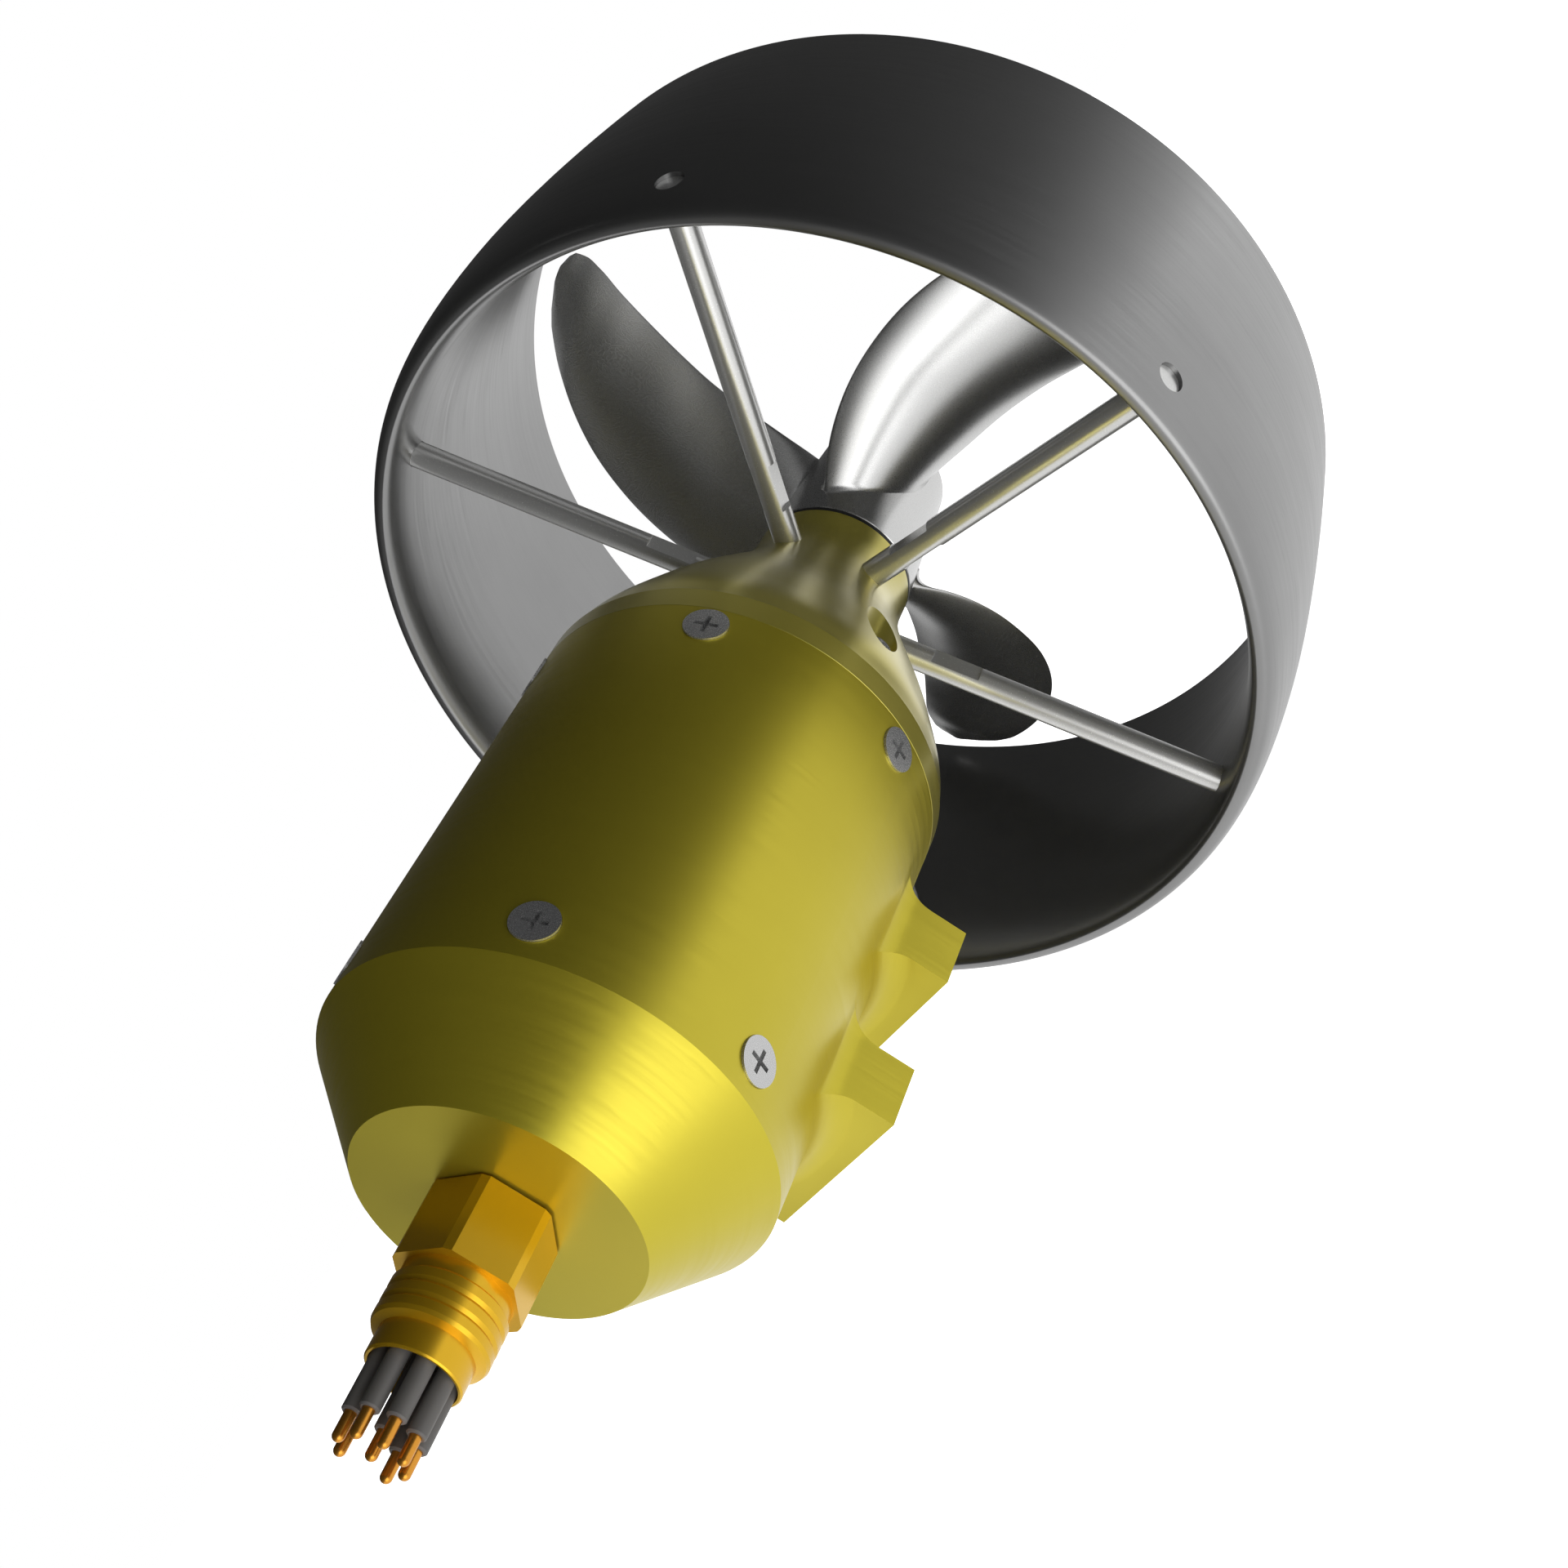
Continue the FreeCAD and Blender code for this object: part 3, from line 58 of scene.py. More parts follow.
NOSE_X = 0.0467
NOSE_BAND = 0.0056
NOSE_LENGTH = 0.0732
NOSE_STEP = 0.00015
COLLAR_R = 0.0185
RIDGE_HEIGHT = 0.0009
RIDGE_PEAK = 0.31
NOSE_SPIGOT_LENGTH = 0.016
NOSE_SPIGOT_R = 0.03995
NOSE_BORE_R = 0.0303
NOSE_FACE_X = 0.072
BEARING_SEAT_R = 0.01605
BEARING_SEAT_END_X = 0.096
THROAT_BORE_R = 0.011
SEAL_SEAT_R = 0.01305
SEAL_SEAT_DEPTH = 0.0164
BLEED_CIRCLE_R = 0.0374
BLEED_SEAT = 0.0132
COUNTERBORE_R = 0.0046

SPOKE_COUNT = 6
SPOKE_X = 0.105
SPOKE_R = 0.00315
SPOKE_FIRST_ANGLE = 45.0
SPOKE_HOLE_GAP = 0.00005
SPOKE_HOLE_START = 0.004
SPOKE_HOLE_LENGTH = 0.016

DUCT_INLET_X = 0.0946
DUCT_LENGTH = 0.0862
DUCT_LIP_R = 0.1027
DUCT_THROAT_R = 0.0982
DUCT_THROAT_OFFSET = 0.027
DUCT_WAIST_R = 0.1082
DUCT_WAIST_OFFSET = 0.0305
DUCT_OUTLET_R = 0.1016
DUCT_OUTLET_EDGE = 0.0027
DUCT_WAIST_POWER = 0.6
DUCT_OUTLET_POWER = 1.6

HUB_X = 0.1211
HUB_LENGTH = 0.0403
HUB_REAR_R = 0.0185
HUB_FRONT_R = 0.01575
HUB_BORE_R = 0.00605
HUB_EDGE_ROUND = 0.002
HUB_BEVEL = 0.0003
BLADE_COUNT = 3
BLADE_R = 0.097
BLADE_ANGLE = 290.0
BLADE_ROOT_SINK = 0.0015
BLADE_THICKNESS_TIP = 0.0012
BLADE_THICKNESS_GAIN = 0.0044
BLADE_CAMBER_TIP = 0.03
BLADE_CAMBER_GAIN = 0.06
FILLET_BEHIND = 0.0055
FILLET_AHEAD = 0.0008

# Nose outline: share of its tapered length, share of the drop from body to collar
NOSE_OUTLINE = ((0.0, 0.0), (0.08, 0.05), (0.21, 0.19), (0.35, 0.365), (0.48, 0.55),
                (0.61, 0.735), (0.74, 0.89), (0.83, 0.965), (0.90, 0.993), (1.0, 1.0))

# Small edge where the nose's band meets the housing: distance from the seam, height on the band
SEAM_EDGE = ((0.00003, -0.00012), (0.00016, 0.0))

# Blade outline: share of the height, leading edge's angle and x, trailing edge's angle and x, in
# degrees and in millimetres from the hub's start
BLADE_STATIONS = ((0.0, -64.5, 5.0, 9.0, 32.5), (0.13, -61.0, 11.1, 4.5, 35.8),
                  (0.265, -55.0, 16.9, 1.5, 39.9), (0.40, -48.0, 22.6, 1.0, 43.5),
                  (0.535, -40.5, 29.1, 2.0, 47.1), (0.67, -32.0, 35.3, 3.0, 51.1),
                  (0.795, -22.5, 40.9, 4.2, 54.5), (0.88, -15.0, 45.7, 4.9, 57.3),
                  (0.945, -10.0, 51.2, 4.6, 59.3), (0.985, -5.5, 55.2, 3.2, 59.4),
                  (1.0, -1.8, 57.4, 1.2, 58.6))
MILLIMETRE = 0.001

# Meshes: points around and along each surface, the powers that crowd rows towards the lip and
# the blade's root, and the angles in degrees from which an edge is sharp
DUCT_COLUMNS, DUCT_FRONT_ROWS, DUCT_BACK_ROWS = 240, 46, 50
NOSE_COLUMNS, NOSE_ROWS = 360, 110
HUB_COLUMNS, HUB_EDGE_ROWS = 192, 9
BLADE_COLUMNS, BLADE_ROWS = 96, 90
LIP_CROWDING, ROOT_CROWDING = 2.5, 1.3
CUTTER_COLUMNS = 64
SHARP_TURNED, SHARP_NOSE, SHARP_BLADES, SHARP_COPIES = 35.0, 28.0, 50.0, 24.0
MERGE_DISTANCE = 1e-6

# Nodes that are shown in their own shape
SHOWN = ["motor_housing", "tail_cone", "tail_screws", "nose_screws", "bleed_screws",
         "connector_shell", "connector_insulator", "contact_sleeves", "contact_pins",
         "connector_seal", "collar_ring", "propeller_nut", "output_shaft"]
SHOWN += ["spoke_" + str(k + 1) for k in range(SPOKE_COUNT)]

# Studio
FLOOR_HALF_WIDTH = 12.0
FLOOR_Z = -0.75
FLOOR_GLOW = 0.95
FLOOR_TONE = 0.8
CANOPY_R = 3.0
CANOPY_LOW, CANOPY_HIGH = -14.0, 88.0
CANOPY_COLUMNS, CANOPY_ROWS = 72, 40
CANOPY_Z = (-0.70, 3.0)
# Canopy's tone: share of its height, brightness
CANOPY_TONES = ((0.0, 0.85), (0.12, 0.42), (0.2, 0.2), (0.32, 0.10), (0.6, 0.04), (1.0, 0.025))
WORLD_FILL, WORLD_SEEN = 0.8, 1.0
LAMP_TARGET = (0.04, 0.0, AXIS_HEIGHT)

# Camera at the photograph's place, in the part's frame
CAMERA_RIGHT = (0.31967619, -0.448046001, -0.834902337)
CAMERA_UP = (0.64720804, -0.540307789, 0.537763188)
CAMERA_BACK = (-0.69204688, -0.712265589, 0.117255438)
CAMERA_PLACE = (-0.26703953, -0.33099775, 0.09709283)


# Surfaces

def smooth_curve(table, column, at):
    """Cubic curve through a column of a table whose first column is the place. Each piece is the
    Hermite cubic between two rows, with the slope at a row taken from its two neighbours."""
    known = np.array(table)
    x, y = known[:, 0], known[:, column]
    slope = np.gradient(y, x)
    k = np.clip(np.searchsorted(x, at, side="right") - 1, 0, len(x) - 2)
    width = x[k + 1] - x[k]
    t = (at - x[k]) / width
    return ((2 * t ** 3 - 3 * t ** 2 + 1) * y[k] + (t ** 3 - 2 * t ** 2 + t) * width * slope[k]
            + (3 * t ** 2 - 2 * t ** 3) * y[k + 1] + (t ** 3 - t ** 2) * width * slope[k + 1])


def full_turn(columns):
    """Row of angles that go once round."""
    return np.linspace(0, 2 * math.pi, columns, endpoint=False)[None, :]


def around_axis(x, radius, angle):
    """Points at x whose distance from the thruster's axis is the radius. The angle is in radians
    from straight down towards +Y, so y = radius * sin and z = axis height - radius * cos."""
    x, radius, angle = np.broadcast_arrays(x, radius, angle)
    return np.stack([x, radius * np.sin(angle), AXIS_HEIGHT - radius * np.cos(angle)], axis=-1)


def grid_quads(rows, columns, closed_rows):
    """Quads between neighbours of a grid of points numbered row by row. The columns go all the
    way round, and so do the rows if they are closed."""
    i = np.arange(rows if closed_rows else rows - 1)[:, None]
    j = np.arange(columns)[None, :]
    below, beside = (i + 1) % rows, (j + 1) % columns
    quads = np.stack([i * columns + j, i * columns + beside, below * columns + beside,
                      below * columns + j], axis=-1)
    return quads.reshape(-1, 4)


def shaded(mesh, sharp_angle):
    mesh.shade_smooth()
    mesh.set_sharp_from_angle(angle=math.radians(sharp_angle))


def placed(name, data):
    """Object in the scene that holds the data."""
    made = bpy.data.objects.new(name, data)
    bpy.context.scene.collection.objects.link(made)
    return made


def finished(mesh, name, sharp_angle):
    """Object at the origin with its doubles merged, its faces outwards and its sharp edges kept."""
    work = bmesh.new()
    work.from_mesh(mesh)
    bmesh.ops.remove_doubles(work, verts=work.verts, dist=MERGE_DISTANCE)
    bmesh.ops.recalc_face_normals(work, faces=work.faces)
    work.to_mesh(mesh)
    work.free()
    shaded(mesh, sharp_angle)
    return placed(name, mesh)


def surface(name, grids, closed_rows, sharp_angle=SHARP_TURNED):
    """One piece from grids of points. An open grid gets a cap over its first and last row."""
    points, quads, caps, start = [], [], [], 0
    for grid in grids:
        rows, columns = grid.shape[:2]
        points.append(grid.reshape(-1, 3))
        quads += (grid_quads(rows, columns, closed_rows) + start).tolist()
        if not closed_rows:
            ring = np.arange(columns) + start
            caps += [ring.tolist(), (ring + (rows - 1) * columns).tolist()]
        start += rows * columns
    mesh = bpy.data.meshes.new(name)
    mesh.from_pydata(np.concatenate(points).tolist(), [], quads + caps)
    return finished(mesh, name, sharp_angle)


def carved(piece, cutters, sharp_angle=SHARP_TURNED):
    """The piece with the cutters' space taken out of it."""
    for cutter in cutters:
        cut = piece.modifiers.new("cut", "BOOLEAN")
        cut.operation = "DIFFERENCE"
        cut.solver = "EXACT"
        cut.object = cutter
    seen = piece.evaluated_get(bpy.context.evaluated_depsgraph_get())
    mesh = bpy.data.meshes.new_from_object(seen)
    piece.modifiers.clear()
    piece.data = mesh
    shaded(mesh, sharp_angle)
    for cutter in cutters:
        bpy.data.objects.remove(cutter)
    return piece


def cylinder_cutter(start, direction, radius, length):
    """Closed cylinder from its start along the direction: its points are
    start + along * direction + radius * (cos * side + sin * other side)."""
    axis = np.array(direction) / np.linalg.norm(direction)
    side = np.cross(axis, [0.0, 0.6, 0.8] if abs(axis[0]) > 0.5 else [1.0, 0.0, 0.0])
    side /= np.linalg.norm(side)
    other = np.cross(axis, side)
    turn = full_turn(CUTTER_COLUMNS)[0][:, None]
    ring = radius * (np.cos(turn) * side + np.sin(turn) * other)
    ends = np.array(start) + np.array([0.0, length])[:, None] * axis
    return surface("cutter", [ends[:, None, :] + ring[None, :, :]], False)


def spoke_angles():
    return [math.radians(SPOKE_FIRST_ANGLE + 360.0 / SPOKE_COUNT * k) for k in range(SPOKE_COUNT)]


def duct_shell():
    """Duct turned from its section: from the lip the outside rises to the waist as the 0.6th
    power of a quarter ellipse and the inside falls to the throat as a quarter ellipse. Behind
    them both run to the outlet's edge with the 1.6th power of the distance."""
    front = np.linspace(0, 1, DUCT_FRONT_ROWS) ** LIP_CROWDING
    back = np.linspace(0, 1, DUCT_BACK_ROWS)[1:]
    rise = np.sqrt(1 - (1 - front) ** 2)
    end_x = DUCT_INLET_X + DUCT_LENGTH
    waist_x = DUCT_INLET_X + DUCT_WAIST_OFFSET
    throat_x = DUCT_INLET_X + DUCT_THROAT_OFFSET
    edge_r = DUCT_OUTLET_R + DUCT_OUTLET_EDGE
    outer_x = np.append(DUCT_INLET_X + front * DUCT_WAIST_OFFSET,
                        waist_x + back * (end_x - waist_x))
    outer_r = np.append(DUCT_LIP_R + (DUCT_WAIST_R - DUCT_LIP_R) * rise ** DUCT_WAIST_POWER,
                        DUCT_WAIST_R - (DUCT_WAIST_R - edge_r) * back ** DUCT_OUTLET_POWER)
    inner_x = np.append(DUCT_INLET_X + front * DUCT_THROAT_OFFSET,
                        throat_x + back * (end_x - throat_x))
    inner_r = np.append(DUCT_LIP_R - (DUCT_LIP_R - DUCT_THROAT_R) * rise,
                        DUCT_THROAT_R
                        + (DUCT_OUTLET_R - DUCT_THROAT_R) * back ** DUCT_OUTLET_POWER)
    x = np.append(outer_x, inner_x[:0:-1])[:, None]
    radius = np.append(outer_r, inner_r[:0:-1])[:, None]
    shell = surface("duct_shell", [around_axis(x, radius, full_turn(DUCT_COLUMNS))], True)
    holes = [cylinder_cutter(around_axis(SPOKE_X, DUCT_THROAT_R - SPOKE_HOLE_START, angle),
                             (0, math.sin(angle), -math.cos(angle)),
                             SPOKE_R + SPOKE_HOLE_GAP, SPOKE_HOLE_LENGTH)
             for angle in spoke_angles()]
    return carved(shell, holes)


def nose_shell():
    """Flared nose: its radius falls from body to collar along a smooth curve of the share of its
    length. A ridge under each spoke is the square of a raised cosine of the angle times the
    square of a sine along the length. The inside is stepped for the gearbox, bearing and seals."""
    share = np.linspace(0, 1, NOSE_ROWS)[:, None]
    angle = full_turn(NOSE_COLUMNS)
    start_r = BODY_R - NOSE_STEP
    base = start_r - smooth_curve(NOSE_OUTLINE, 1, share) * (start_r - COLLAR_R)
    wave = (1 + np.cos(SPOKE_COUNT * (angle - math.radians(SPOKE_FIRST_ANGLE)))) / 2
    swell = np.sin(math.pi * share ** (math.log(0.5) / math.log(RIDGE_PEAK))) ** 2
    taper_x = NOSE_X + NOSE_BAND
    collar_x = NOSE_X + NOSE_LENGTH
    spigot_x = NOSE_X - NOSE_SPIGOT_LENGTH
    seal_x = collar_x - SEAL_SEAT_DEPTH
    skin = around_axis(taper_x + share * (collar_x - taper_x),
                       base + RIDGE_HEIGHT * wave ** 2 * swell, angle)
    band = [(spigot_x, NOSE_SPIGOT_R), (NOSE_X, NOSE_SPIGOT_R)]
    band += [(NOSE_X + ahead, BODY_R + above) for ahead, above in SEAM_EDGE]
    band += [(taper_x, BODY_R)]
    inside = [(collar_x, SEAL_SEAT_R), (seal_x, SEAL_SEAT_R), (seal_x, THROAT_BORE_R),
              (BEARING_SEAT_END_X, THROAT_BORE_R), (BEARING_SEAT_END_X, BEARING_SEAT_R),
              (NOSE_FACE_X, BEARING_SEAT_R), (NOSE_FACE_X, NOSE_BORE_R), (spigot_x, NOSE_BORE_R)]
    turned = [around_axis(np.array(part)[:, :1], np.array(part)[:, 1:], angle)
              for part in (band, inside)]
    grid = np.concatenate([turned[0], skin, turned[1]])
    shell = surface("nose_shell", [grid], True, SHARP_NOSE)
    wells = [cylinder_cutter(around_axis(NOSE_X + BLEED_SEAT, BLEED_CIRCLE_R, angle), (1, 0, 0),
                             COUNTERBORE_R, NOSE_LENGTH) for angle in spoke_angles()[::2]]
    return carved(shell, wells, SHARP_NOSE)


def blade_grid(turn_of_blade):
    """One blade. At each height its section runs over the front and back of a chord from the
    leading to the trailing edge: thickness is half of it times a sine with softened ends, camber
    is a parabola. Near the hub the thickness flares as a circle's arc, wide behind the blade and
    narrow ahead of it."""
    share = (np.linspace(0, 1, BLADE_ROWS) ** ROOT_CROWDING)[:, None]
    turn = full_turn(BLADE_COLUMNS)
    sine, cosine = np.sin(turn), np.cos(turn)
    lead, lead_x, trail, trail_x = [smooth_curve(BLADE_STATIONS, k, share) for k in (1, 2, 3, 4)]
    lead, trail = np.radians(lead), np.radians(trail)
    root = HUB_FRONT_R - BLADE_ROOT_SINK
    radius = root + share * (BLADE_R - root)
    span = (trail - lead) * radius
    rise = (trail_x - lead_x) * MILLIMETRE
    chord = np.hypot(span, rise)
    thick = BLADE_THICKNESS_TIP + BLADE_THICKNESS_GAIN * (1 - share) ** 1.5
    bend = chord * (BLADE_CAMBER_TIP + BLADE_CAMBER_GAIN * (1 - share))
    t = (1 - cosine) / 2
    along = lead_x * MILLIMETRE + t * rise
    hub_r = HUB_REAR_R + (HUB_FRONT_R - HUB_REAR_R) * along / HUB_LENGTH
    fillet = np.where(sine > 0, FILLET_BEHIND, FILLET_AHEAD)
    near = np.clip(fillet - (radius - hub_r), 0, fillet)
    flare = (fillet - np.sqrt(fillet ** 2 - near ** 2)) * np.sign(sine) * np.abs(sine) ** 0.5
    half = thick / 2 * sine * (1 - 0.35 * np.abs(cosine) ** 3)
    off = half - bend * 4 * t * (1 - t) + flare
    x = HUB_X + along + off * span / chord
    angle = (t * span - off * rise / chord) / radius + lead
    return around_axis(x, radius, angle + math.radians(turn_of_blade))


def propeller_pieces():
    """Hub turned from its outline, with rounded rear edge, and the skewed blades rooted in it."""
    end_x = HUB_X + HUB_LENGTH
    arc = np.linspace(0, math.pi / 2, HUB_EDGE_ROWS)
    rounded = np.stack([end_x - HUB_EDGE_ROUND + HUB_EDGE_ROUND * np.sin(arc),
                        HUB_FRONT_R - HUB_EDGE_ROUND + HUB_EDGE_ROUND * np.cos(arc)], axis=1)
    start = [(HUB_X, HUB_BORE_R), (HUB_X, HUB_REAR_R - HUB_BEVEL), (HUB_X + HUB_BEVEL, HUB_REAR_R)]
    outline = np.concatenate([np.array(start), rounded, np.array([(end_x, HUB_BORE_R)])])
    hub = around_axis(outline[:, :1], outline[:, 1:], full_turn(HUB_COLUMNS))
    blades = [blade_grid(BLADE_ANGLE + 360.0 / BLADE_COUNT * k) for k in range(BLADE_COUNT)]
    return (surface("propeller_hub", [hub], True),
            surface("propeller_blades", blades, False, SHARP_BLADES))


def smooth_copy(node):
    """A node's own shape with its loose triangles merged, so that its round faces shade evenly."""
    mesh = nodes[node].data.copy()
    if mesh.attributes.get("custom_normal"):
        mesh.attributes.remove(mesh.attributes["custom_normal"])
    return finished(mesh, node + "_finished", SHARP_COPIES)


# Materials

def connect(tree, node, inputs):
    """Sets each input of a node to a value, or links it to another node's output."""
    for socket, value in inputs.items():
        if isinstance(value, bpy.types.NodeSocket):
            tree.links.new(value, node.inputs[socket])
        else:
            node.inputs[socket].default_value = value


def shader_node(tree, kind, inputs, output=0, **settings):
    """Output of a new node with its settings and inputs."""
    node = tree.nodes.new("ShaderNode" + kind)
    for name, value in settings.items():
        setattr(node, name, value)
    connect(tree, node, inputs)
    return node.outputs[output]


def calculated(tree, operation, *values):
    """Result of a calculation on values or outputs."""
    return shader_node(tree, "Math", dict(enumerate(values)), operation=operation)


def noise(tree, place, scale, detail):
    inputs = {"Vector": place, "Scale": scale, "Detail": detail}
    return shader_node(tree, "TexNoise", inputs, "Fac")


def stretched(tree, place, stretch):
    return shader_node(tree, "Mapping", {"Vector": place, "Scale": stretch})


def spread_over(tree, value, low, high):
    """The middle part of a noise, spread from low to high."""
    inputs = {"Value": value, "From Min": 0.3, "From Max": 0.7, "To Min": low, "To Max": high}
    return shader_node(tree, "MapRange", inputs, "Result")


PATCH_SCALE = 38.0
SCRATCH_STRETCH = (900.0, 45.0, 130.0)
SCRATCH_SHARPNESS = 9.0
RELIEF_DISTANCE = 0.0002
COAT_ROUGHNESS = 0.3


def material(name, colour, second, metallic, rough, grain, spread, bump, scratches=0.0, coat=0.0):
    """Surface whose colour drifts between two tones in broad soft patches, and whose roughness
    and height follow a fine grain, stretched as the grain's three numbers say. Thin scratches
    are the bright crests of a long narrow noise."""
    made = bpy.data.materials.new(name)
    made.use_nodes = True
    tree = made.node_tree
    place = shader_node(tree, "TexCoord", {}, "Object")
    patches = spread_over(tree, noise(tree, place, PATCH_SCALE, 4.0), 0.0, 1.0)
    tones = {"A": (*colour, 1), "B": (*second, 1), "Factor": patches}
    tone = shader_node(tree, "Mix", tones, "Result", data_type="RGBA")
    fine = noise(tree, stretched(tree, place, grain), 1.0, 3.0)
    roughness = spread_over(tree, fine, rough - spread, rough + spread)
    if scratches:
        lines = noise(tree, stretched(tree, place, SCRATCH_STRETCH), 1.0, 1.0)
        crest = calculated(tree, "POWER", spread_over(tree, lines, 0.0, 1.0), SCRATCH_SHARPNESS)
        roughness = calculated(tree, "MULTIPLY_ADD", crest, scratches, roughness)
    relief = shader_node(tree, "Bump", {"Strength": bump, "Distance": RELIEF_DISTANCE,
                                        "Height": fine}, "Normal")
    connect(tree, tree.nodes["Principled BSDF"],
            {"Base Color": tone, "Metallic": metallic, "Roughness": roughness, "Normal": relief,
             "Coat Weight": coat, "Coat Roughness": COAT_ROUGHNESS})
    return made


TURNED = (1400.0, 25.0, 25.0)
LAMINATED = (2600.0, 20.0, 20.0)
WOUND = (60.0, 60.0, 2200.0)
CAST = (5200.0, 5200.0, 5200.0)
# Finish: name, two tones, metallic, roughness, grain, its spread, bump, scratches, coat
FINISHES = {
    "gold_anodised": ("gold_anodised_aluminium", (0.735, 0.62, 0.043), (0.70, 0.588, 0.039),
                      0.62, 0.33, TURNED, 0.04, 0.03, 0.03, 0.05),
    # The nose's copy of the gold is paler and bluer than the body's: a painted highlight that gives
    # its gleam a whiter tint. It also carries a full coat.
    "gold_nose_painted_highlight": ("gold_anodised_nose_painted_highlight", (0.73, 0.63, 0.075), (0.69, 0.595, 0.07),
                  0.62, 0.32, TURNED, 0.03, 0.03, 0.02, 1.0),
    "duct_metal": ("grey_duct_metal", (0.315, 0.315, 0.315), (0.295, 0.295, 0.295),
                   0.92, 0.33, TURNED, 0.04, 0.04, 0.03),
    "polished_steel": ("polished_steel", (0.84, 0.84, 0.83), (0.81, 0.81, 0.80),
                       0.62, 0.26, CAST, 0.015, 0.004),
    "screw_steel": ("screw_steel", (0.68, 0.68, 0.68), (0.65, 0.65, 0.65),
                    0.7, 0.27, CAST, 0.015, 0.004),
    "propeller_metal": ("propeller_steel", (0.64, 0.64, 0.635), (0.615, 0.615, 0.61),
                        0.95, 0.28, CAST, 0.015, 0.005),
    "connector_metal": ("gold_connector_metal", (0.94, 0.565, 0.018), (0.915, 0.54, 0.016),
                        0.58, 0.24, CAST, 0.02, 0.004),
    "contact_metal": ("gold_contact_metal", (0.80, 0.36, 0.045), (0.76, 0.33, 0.04),
                      0.8, 0.3, CAST, 0.03, 0.006),
    "black_rubber": ("dark_rubber", (0.26, 0.25, 0.243), (0.28, 0.27, 0.263),
                     0.0, 0.5, CAST, 0.05, 0.03),
    "insulator_plastic": ("insulator_plastic", (0.02, 0.02, 0.02), (0.026, 0.026, 0.026),
                          0.0, 0.5, CAST, 0.06, 0.08),
    "bearing_steel": ("ground_bearing_steel", (0.75, 0.75, 0.76), (0.7, 0.7, 0.71),
                      1.0, 0.14, TURNED, 0.03, 0.02),
    "gear_steel": ("machined_gear_steel", (0.5, 0.5, 0.5), (0.45, 0.45, 0.45),
                   1.0, 0.32, TURNED, 0.06, 0.05),
    "plain_aluminium": ("machined_aluminium", (0.78, 0.79, 0.8), (0.73, 0.74, 0.75),
                        1.0, 0.34, TURNED, 0.06, 0.05),
    "core_steel": ("laminated_core_steel", (0.2, 0.2, 0.21), (0.15, 0.15, 0.16),
                   1.0, 0.45, LAMINATED, 0.1, 0.3),
    "magnet_grey": ("plated_magnet", (0.5, 0.5, 0.52), (0.45, 0.45, 0.47),
                    1.0, 0.25, CAST, 0.05, 0.03),
    "copper_wire": ("enamelled_copper", (0.6, 0.2, 0.06), (0.45, 0.14, 0.04),
                    0.9, 0.35, WOUND, 0.08, 0.4),
    "board_green": ("circuit_board_green", (0.012, 0.09, 0.03), (0.02, 0.13, 0.04),
                    0.0, 0.35, CAST, 0.08, 0.05),
    "part_black": ("moulded_black_part", (0.015, 0.015, 0.016), (0.022, 0.022, 0.024),
                   0.0, 0.3, CAST, 0.06, 0.04),
}
made_finishes = {key: material(*values) for key, values in FINISHES.items()}


# Pieces of the thruster

slot_of = {part["node"]: part["material_slot"] for part in frame["record"]["subparts"]}
body_of = {node: body for body, members in frame["record"]["behaviour"]["bodies"].items()
           for node in members}
# The collar ring is dressed in black plastic as painted shade: it stands in for the dark shadowed
# gap between the collar and the hub.
finish_of = dict(slot_of, nose="gold_nose_painted_highlight", collar_ring="insulator_plastic")


def dress(piece, node):
    """The piece wears the node's finish."""
    piece.data.materials.clear()
    piece.data.materials.append(made_finishes[finish_of[node]])


def stand_in(piece, node):
    """The piece is seen in the node's place and moves with the node's body."""
    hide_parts(node)
    dress(piece, node)
    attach(piece, body_of[node])


for node in slot_of:
    dress(nodes[node], node)
stand_in(duct_shell(), "duct")
stand_in(nose_shell(), "nose")
for piece in propeller_pieces():
    stand_in(piece, "propeller")
for node in SHOWN:
    stand_in(smooth_copy(node), node)


# Studio

def bare_material(name):
    """Material without nodes, and its tree."""
    made = bpy.data.materials.new(name)
    made.use_nodes = True
    made.node_tree.nodes.clear()
    return made, made.node_tree


def seen_directly(tree):
    """1 for rays from the camera, from gloss and through glass, which see the white background."""
    path = tree.nodes.new("ShaderNodeLightPath")
    seen = path.outputs["Is Camera Ray"]
    for other in ("Is Glossy Ray", "Is Transmission Ray"):
        seen = calculated(tree, "MAXIMUM", seen, path.outputs[other])
    return seen


def floor():
    """Wide pale floor that shows white and keeps the object's soft shadow."""
    half, z = FLOOR_HALF_WIDTH, FLOOR_Z
    mesh = bpy.data.meshes.new("studio_floor")
    corners = [(-half, -half, z), (half, -half, z), (half, half, z), (-half, half, z)]
    mesh.from_pydata(corners, [], [(0, 1, 2, 3)])
    piece = placed("studio_floor", mesh)
    made, tree = bare_material("white_floor")
    strength = calculated(tree, "MULTIPLY", seen_directly(tree), FLOOR_GLOW)
    glow = shader_node(tree, "Emission", {"Color": (1, 1, 1, 1), "Strength": strength})
    matt = shader_node(tree, "BsdfDiffuse", {"Color": (FLOOR_TONE, FLOOR_TONE, FLOOR_TONE, 1)})
    both = shader_node(tree, "AddShader", {0: glow, 1: matt})
    connect(tree, tree.nodes.new("ShaderNodeOutputMaterial"), {"Surface": both})
    mesh.materials.append(made)


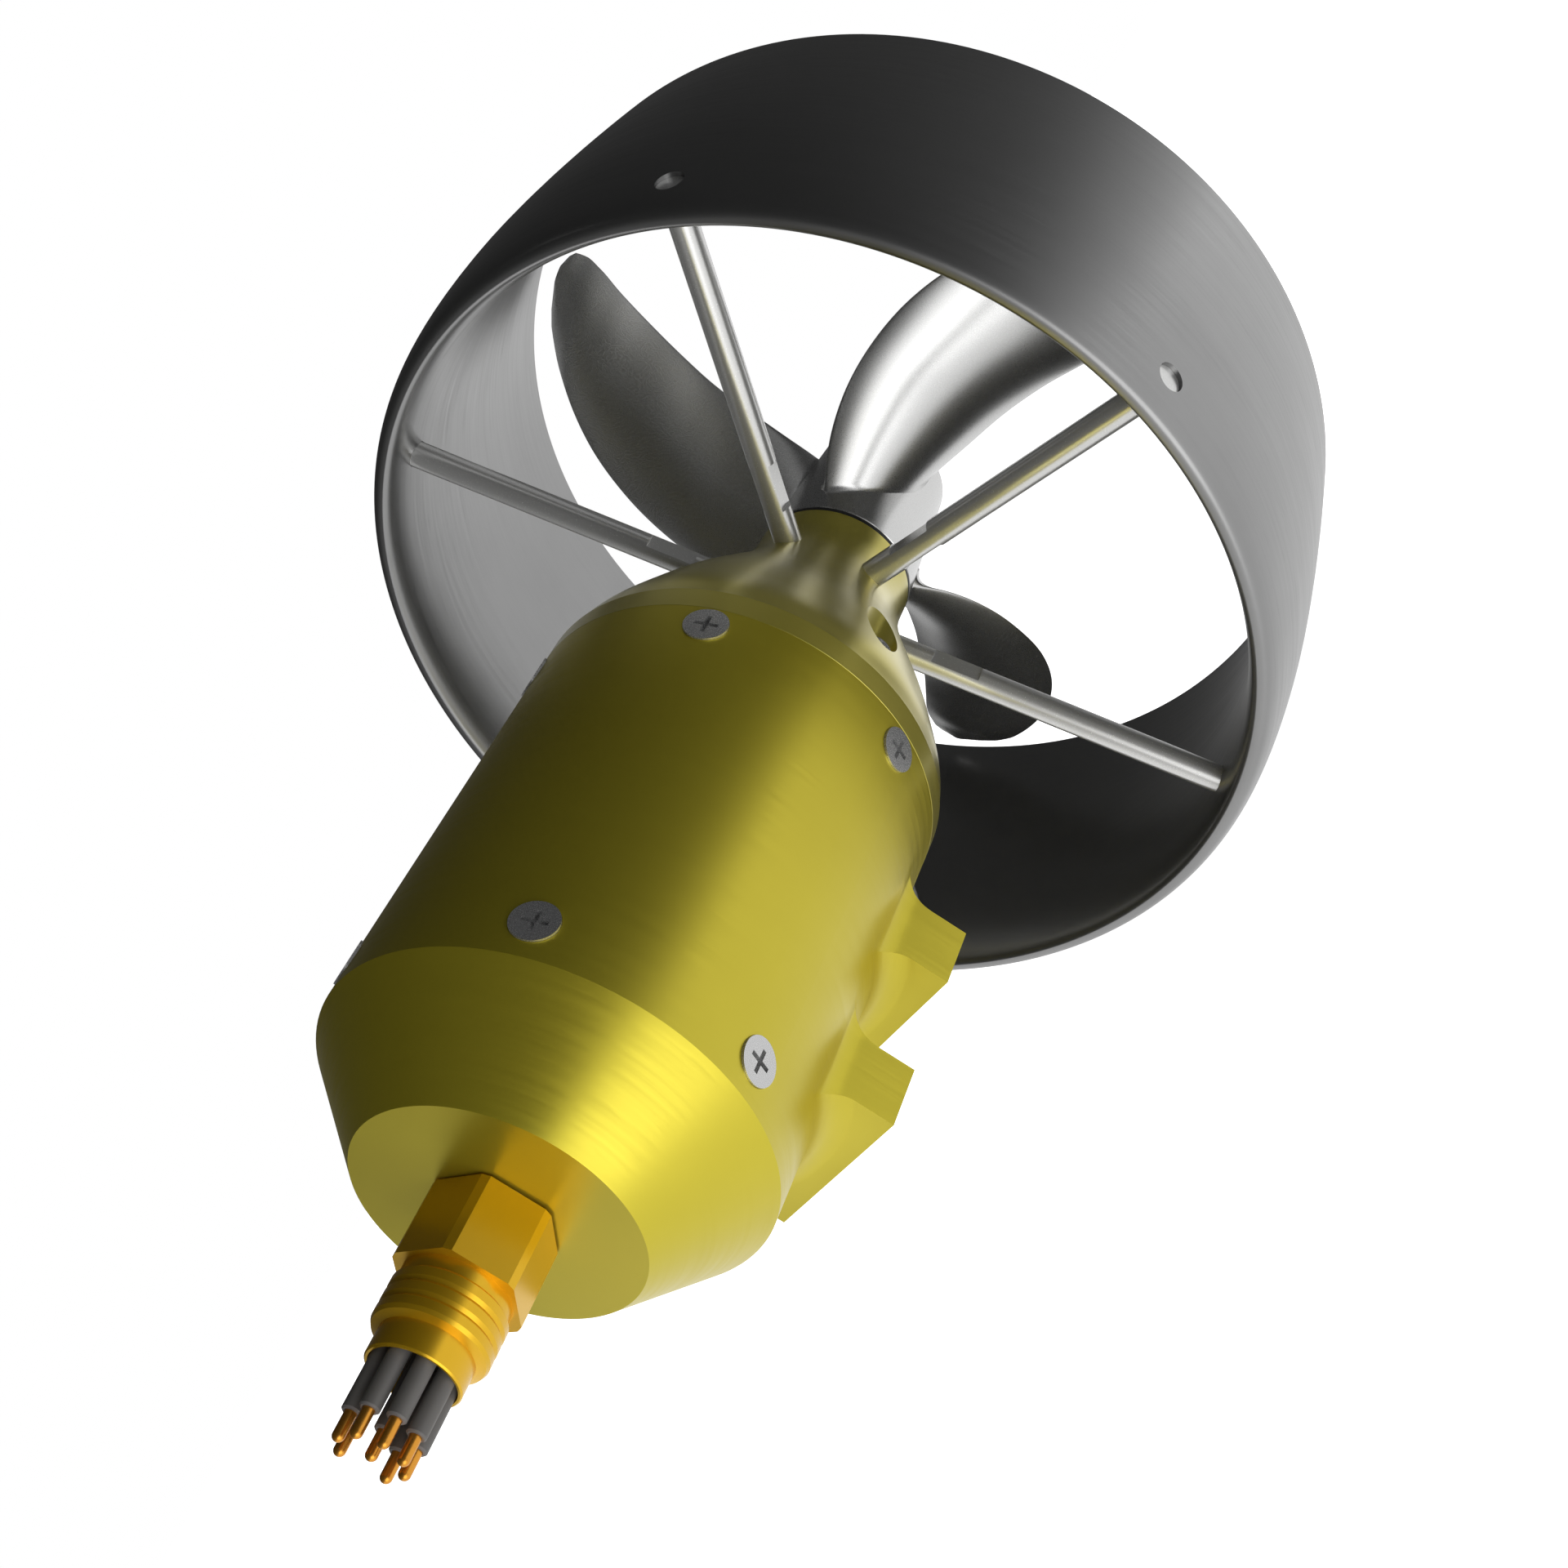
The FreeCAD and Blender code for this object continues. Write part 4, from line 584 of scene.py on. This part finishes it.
def canopy():
    """Dark cloth dome over the set, which the metal reflects and the camera doesn't see: a part
    of a sphere from a little under the horizon to the top, dark above and pale at its rim."""
    height = np.radians(np.linspace(CANOPY_LOW, CANOPY_HIGH, CANOPY_ROWS))[:, None]
    turn = full_turn(CANOPY_COLUMNS)
    reach = CANOPY_R * np.cos(height)
    grid = np.broadcast_arrays(reach * np.cos(turn), reach * np.sin(turn),
                               AXIS_HEIGHT + CANOPY_R * np.sin(height))
    mesh = bpy.data.meshes.new("studio_canopy")
    quads = grid_quads(CANOPY_ROWS, CANOPY_COLUMNS, False)
    mesh.from_pydata(np.stack(grid, axis=-1).reshape(-1, 3).tolist(), [], quads.tolist())
    mesh.shade_smooth()
    piece = placed("studio_canopy", mesh)
    piece.visible_camera = False
    piece.visible_shadow = False
    made, tree = bare_material("canopy_cloth")
    place = shader_node(tree, "TexCoord", {}, "Object")
    z = shader_node(tree, "SeparateXYZ", {"Vector": place}, "Z")
    inputs = {"Value": z, "From Min": CANOPY_Z[0], "From Max": CANOPY_Z[1]}
    level = shader_node(tree, "MapRange", inputs, "Result")
    shade = tree.nodes.new("ShaderNodeValToRGB")
    tones = shade.color_ramp.elements
    tones.remove(tones[0])
    tones[0].position = CANOPY_TONES[0][0]
    for position, _ in CANOPY_TONES[1:]:
        tones.new(position)
    for tone, (_, value) in zip(tones, CANOPY_TONES):
        tone.color = (value, value, value, 1)
    connect(tree, shade, {"Fac": level})
    glow = shader_node(tree, "Emission", {"Color": shade.outputs["Color"]})
    connect(tree, tree.nodes.new("ShaderNodeOutputMaterial"), {"Surface": glow})
    mesh.materials.append(made)


def stand(holder, right, up, back, place):
    """Turns and moves an object by its three axes and its place."""
    columns = (right, up, back, place)
    rows = [[column[k] for column in columns] for k in range(3)]
    holder.matrix_world = Matrix(rows + [(0, 0, 0, 1)])


def softbox(name, direction, distance, size, power):
    """Round soft lamp that faces the thruster from a direction."""
    back = np.array(direction) / np.linalg.norm(direction)
    lamp = bpy.data.lights.new(name, "AREA")
    lamp.shape = "DISK"
    lamp.size = size
    lamp.energy = power
    holder = placed(name, lamp)
    side = np.cross([0.0, 0.0, 1.0], back)
    side /= np.linalg.norm(side)
    stand(holder, side, np.cross(back, side), back, LAMP_TARGET + back * distance)
    holder.visible_camera = False


def world():
    """White seen directly, and a plain pale fill for the light on matt surfaces."""
    made = bpy.data.worlds.new("studio_air")
    bpy.context.scene.world = made
    made.use_nodes = True
    tree = made.node_tree
    inputs = {"Value": seen_directly(tree), "To Min": WORLD_FILL, "To Max": WORLD_SEEN}
    strength = shader_node(tree, "MapRange", inputs, "Result")
    connect(tree, tree.nodes["Background"], {"Color": (1, 1, 1, 1), "Strength": strength})


def camera():
    """Camera at the photograph's place."""
    lens = bpy.data.cameras.new("photo_camera")
    lens.lens = 50.0
    lens.sensor_width = 36.0
    lens.clip_start = 0.01
    lens.clip_end = 50.0
    holder = placed("photo_camera", lens)
    stand(holder, CAMERA_RIGHT, CAMERA_UP, CAMERA_BACK, CAMERA_PLACE)
    bpy.context.scene.camera = holder


floor()
canopy()
world()
softbox("key_softbox", (-0.80, -0.47, -0.40), 1.1, 1.0, 3.4)
camera()
bpy.context.scene.view_settings.view_transform = "Standard"
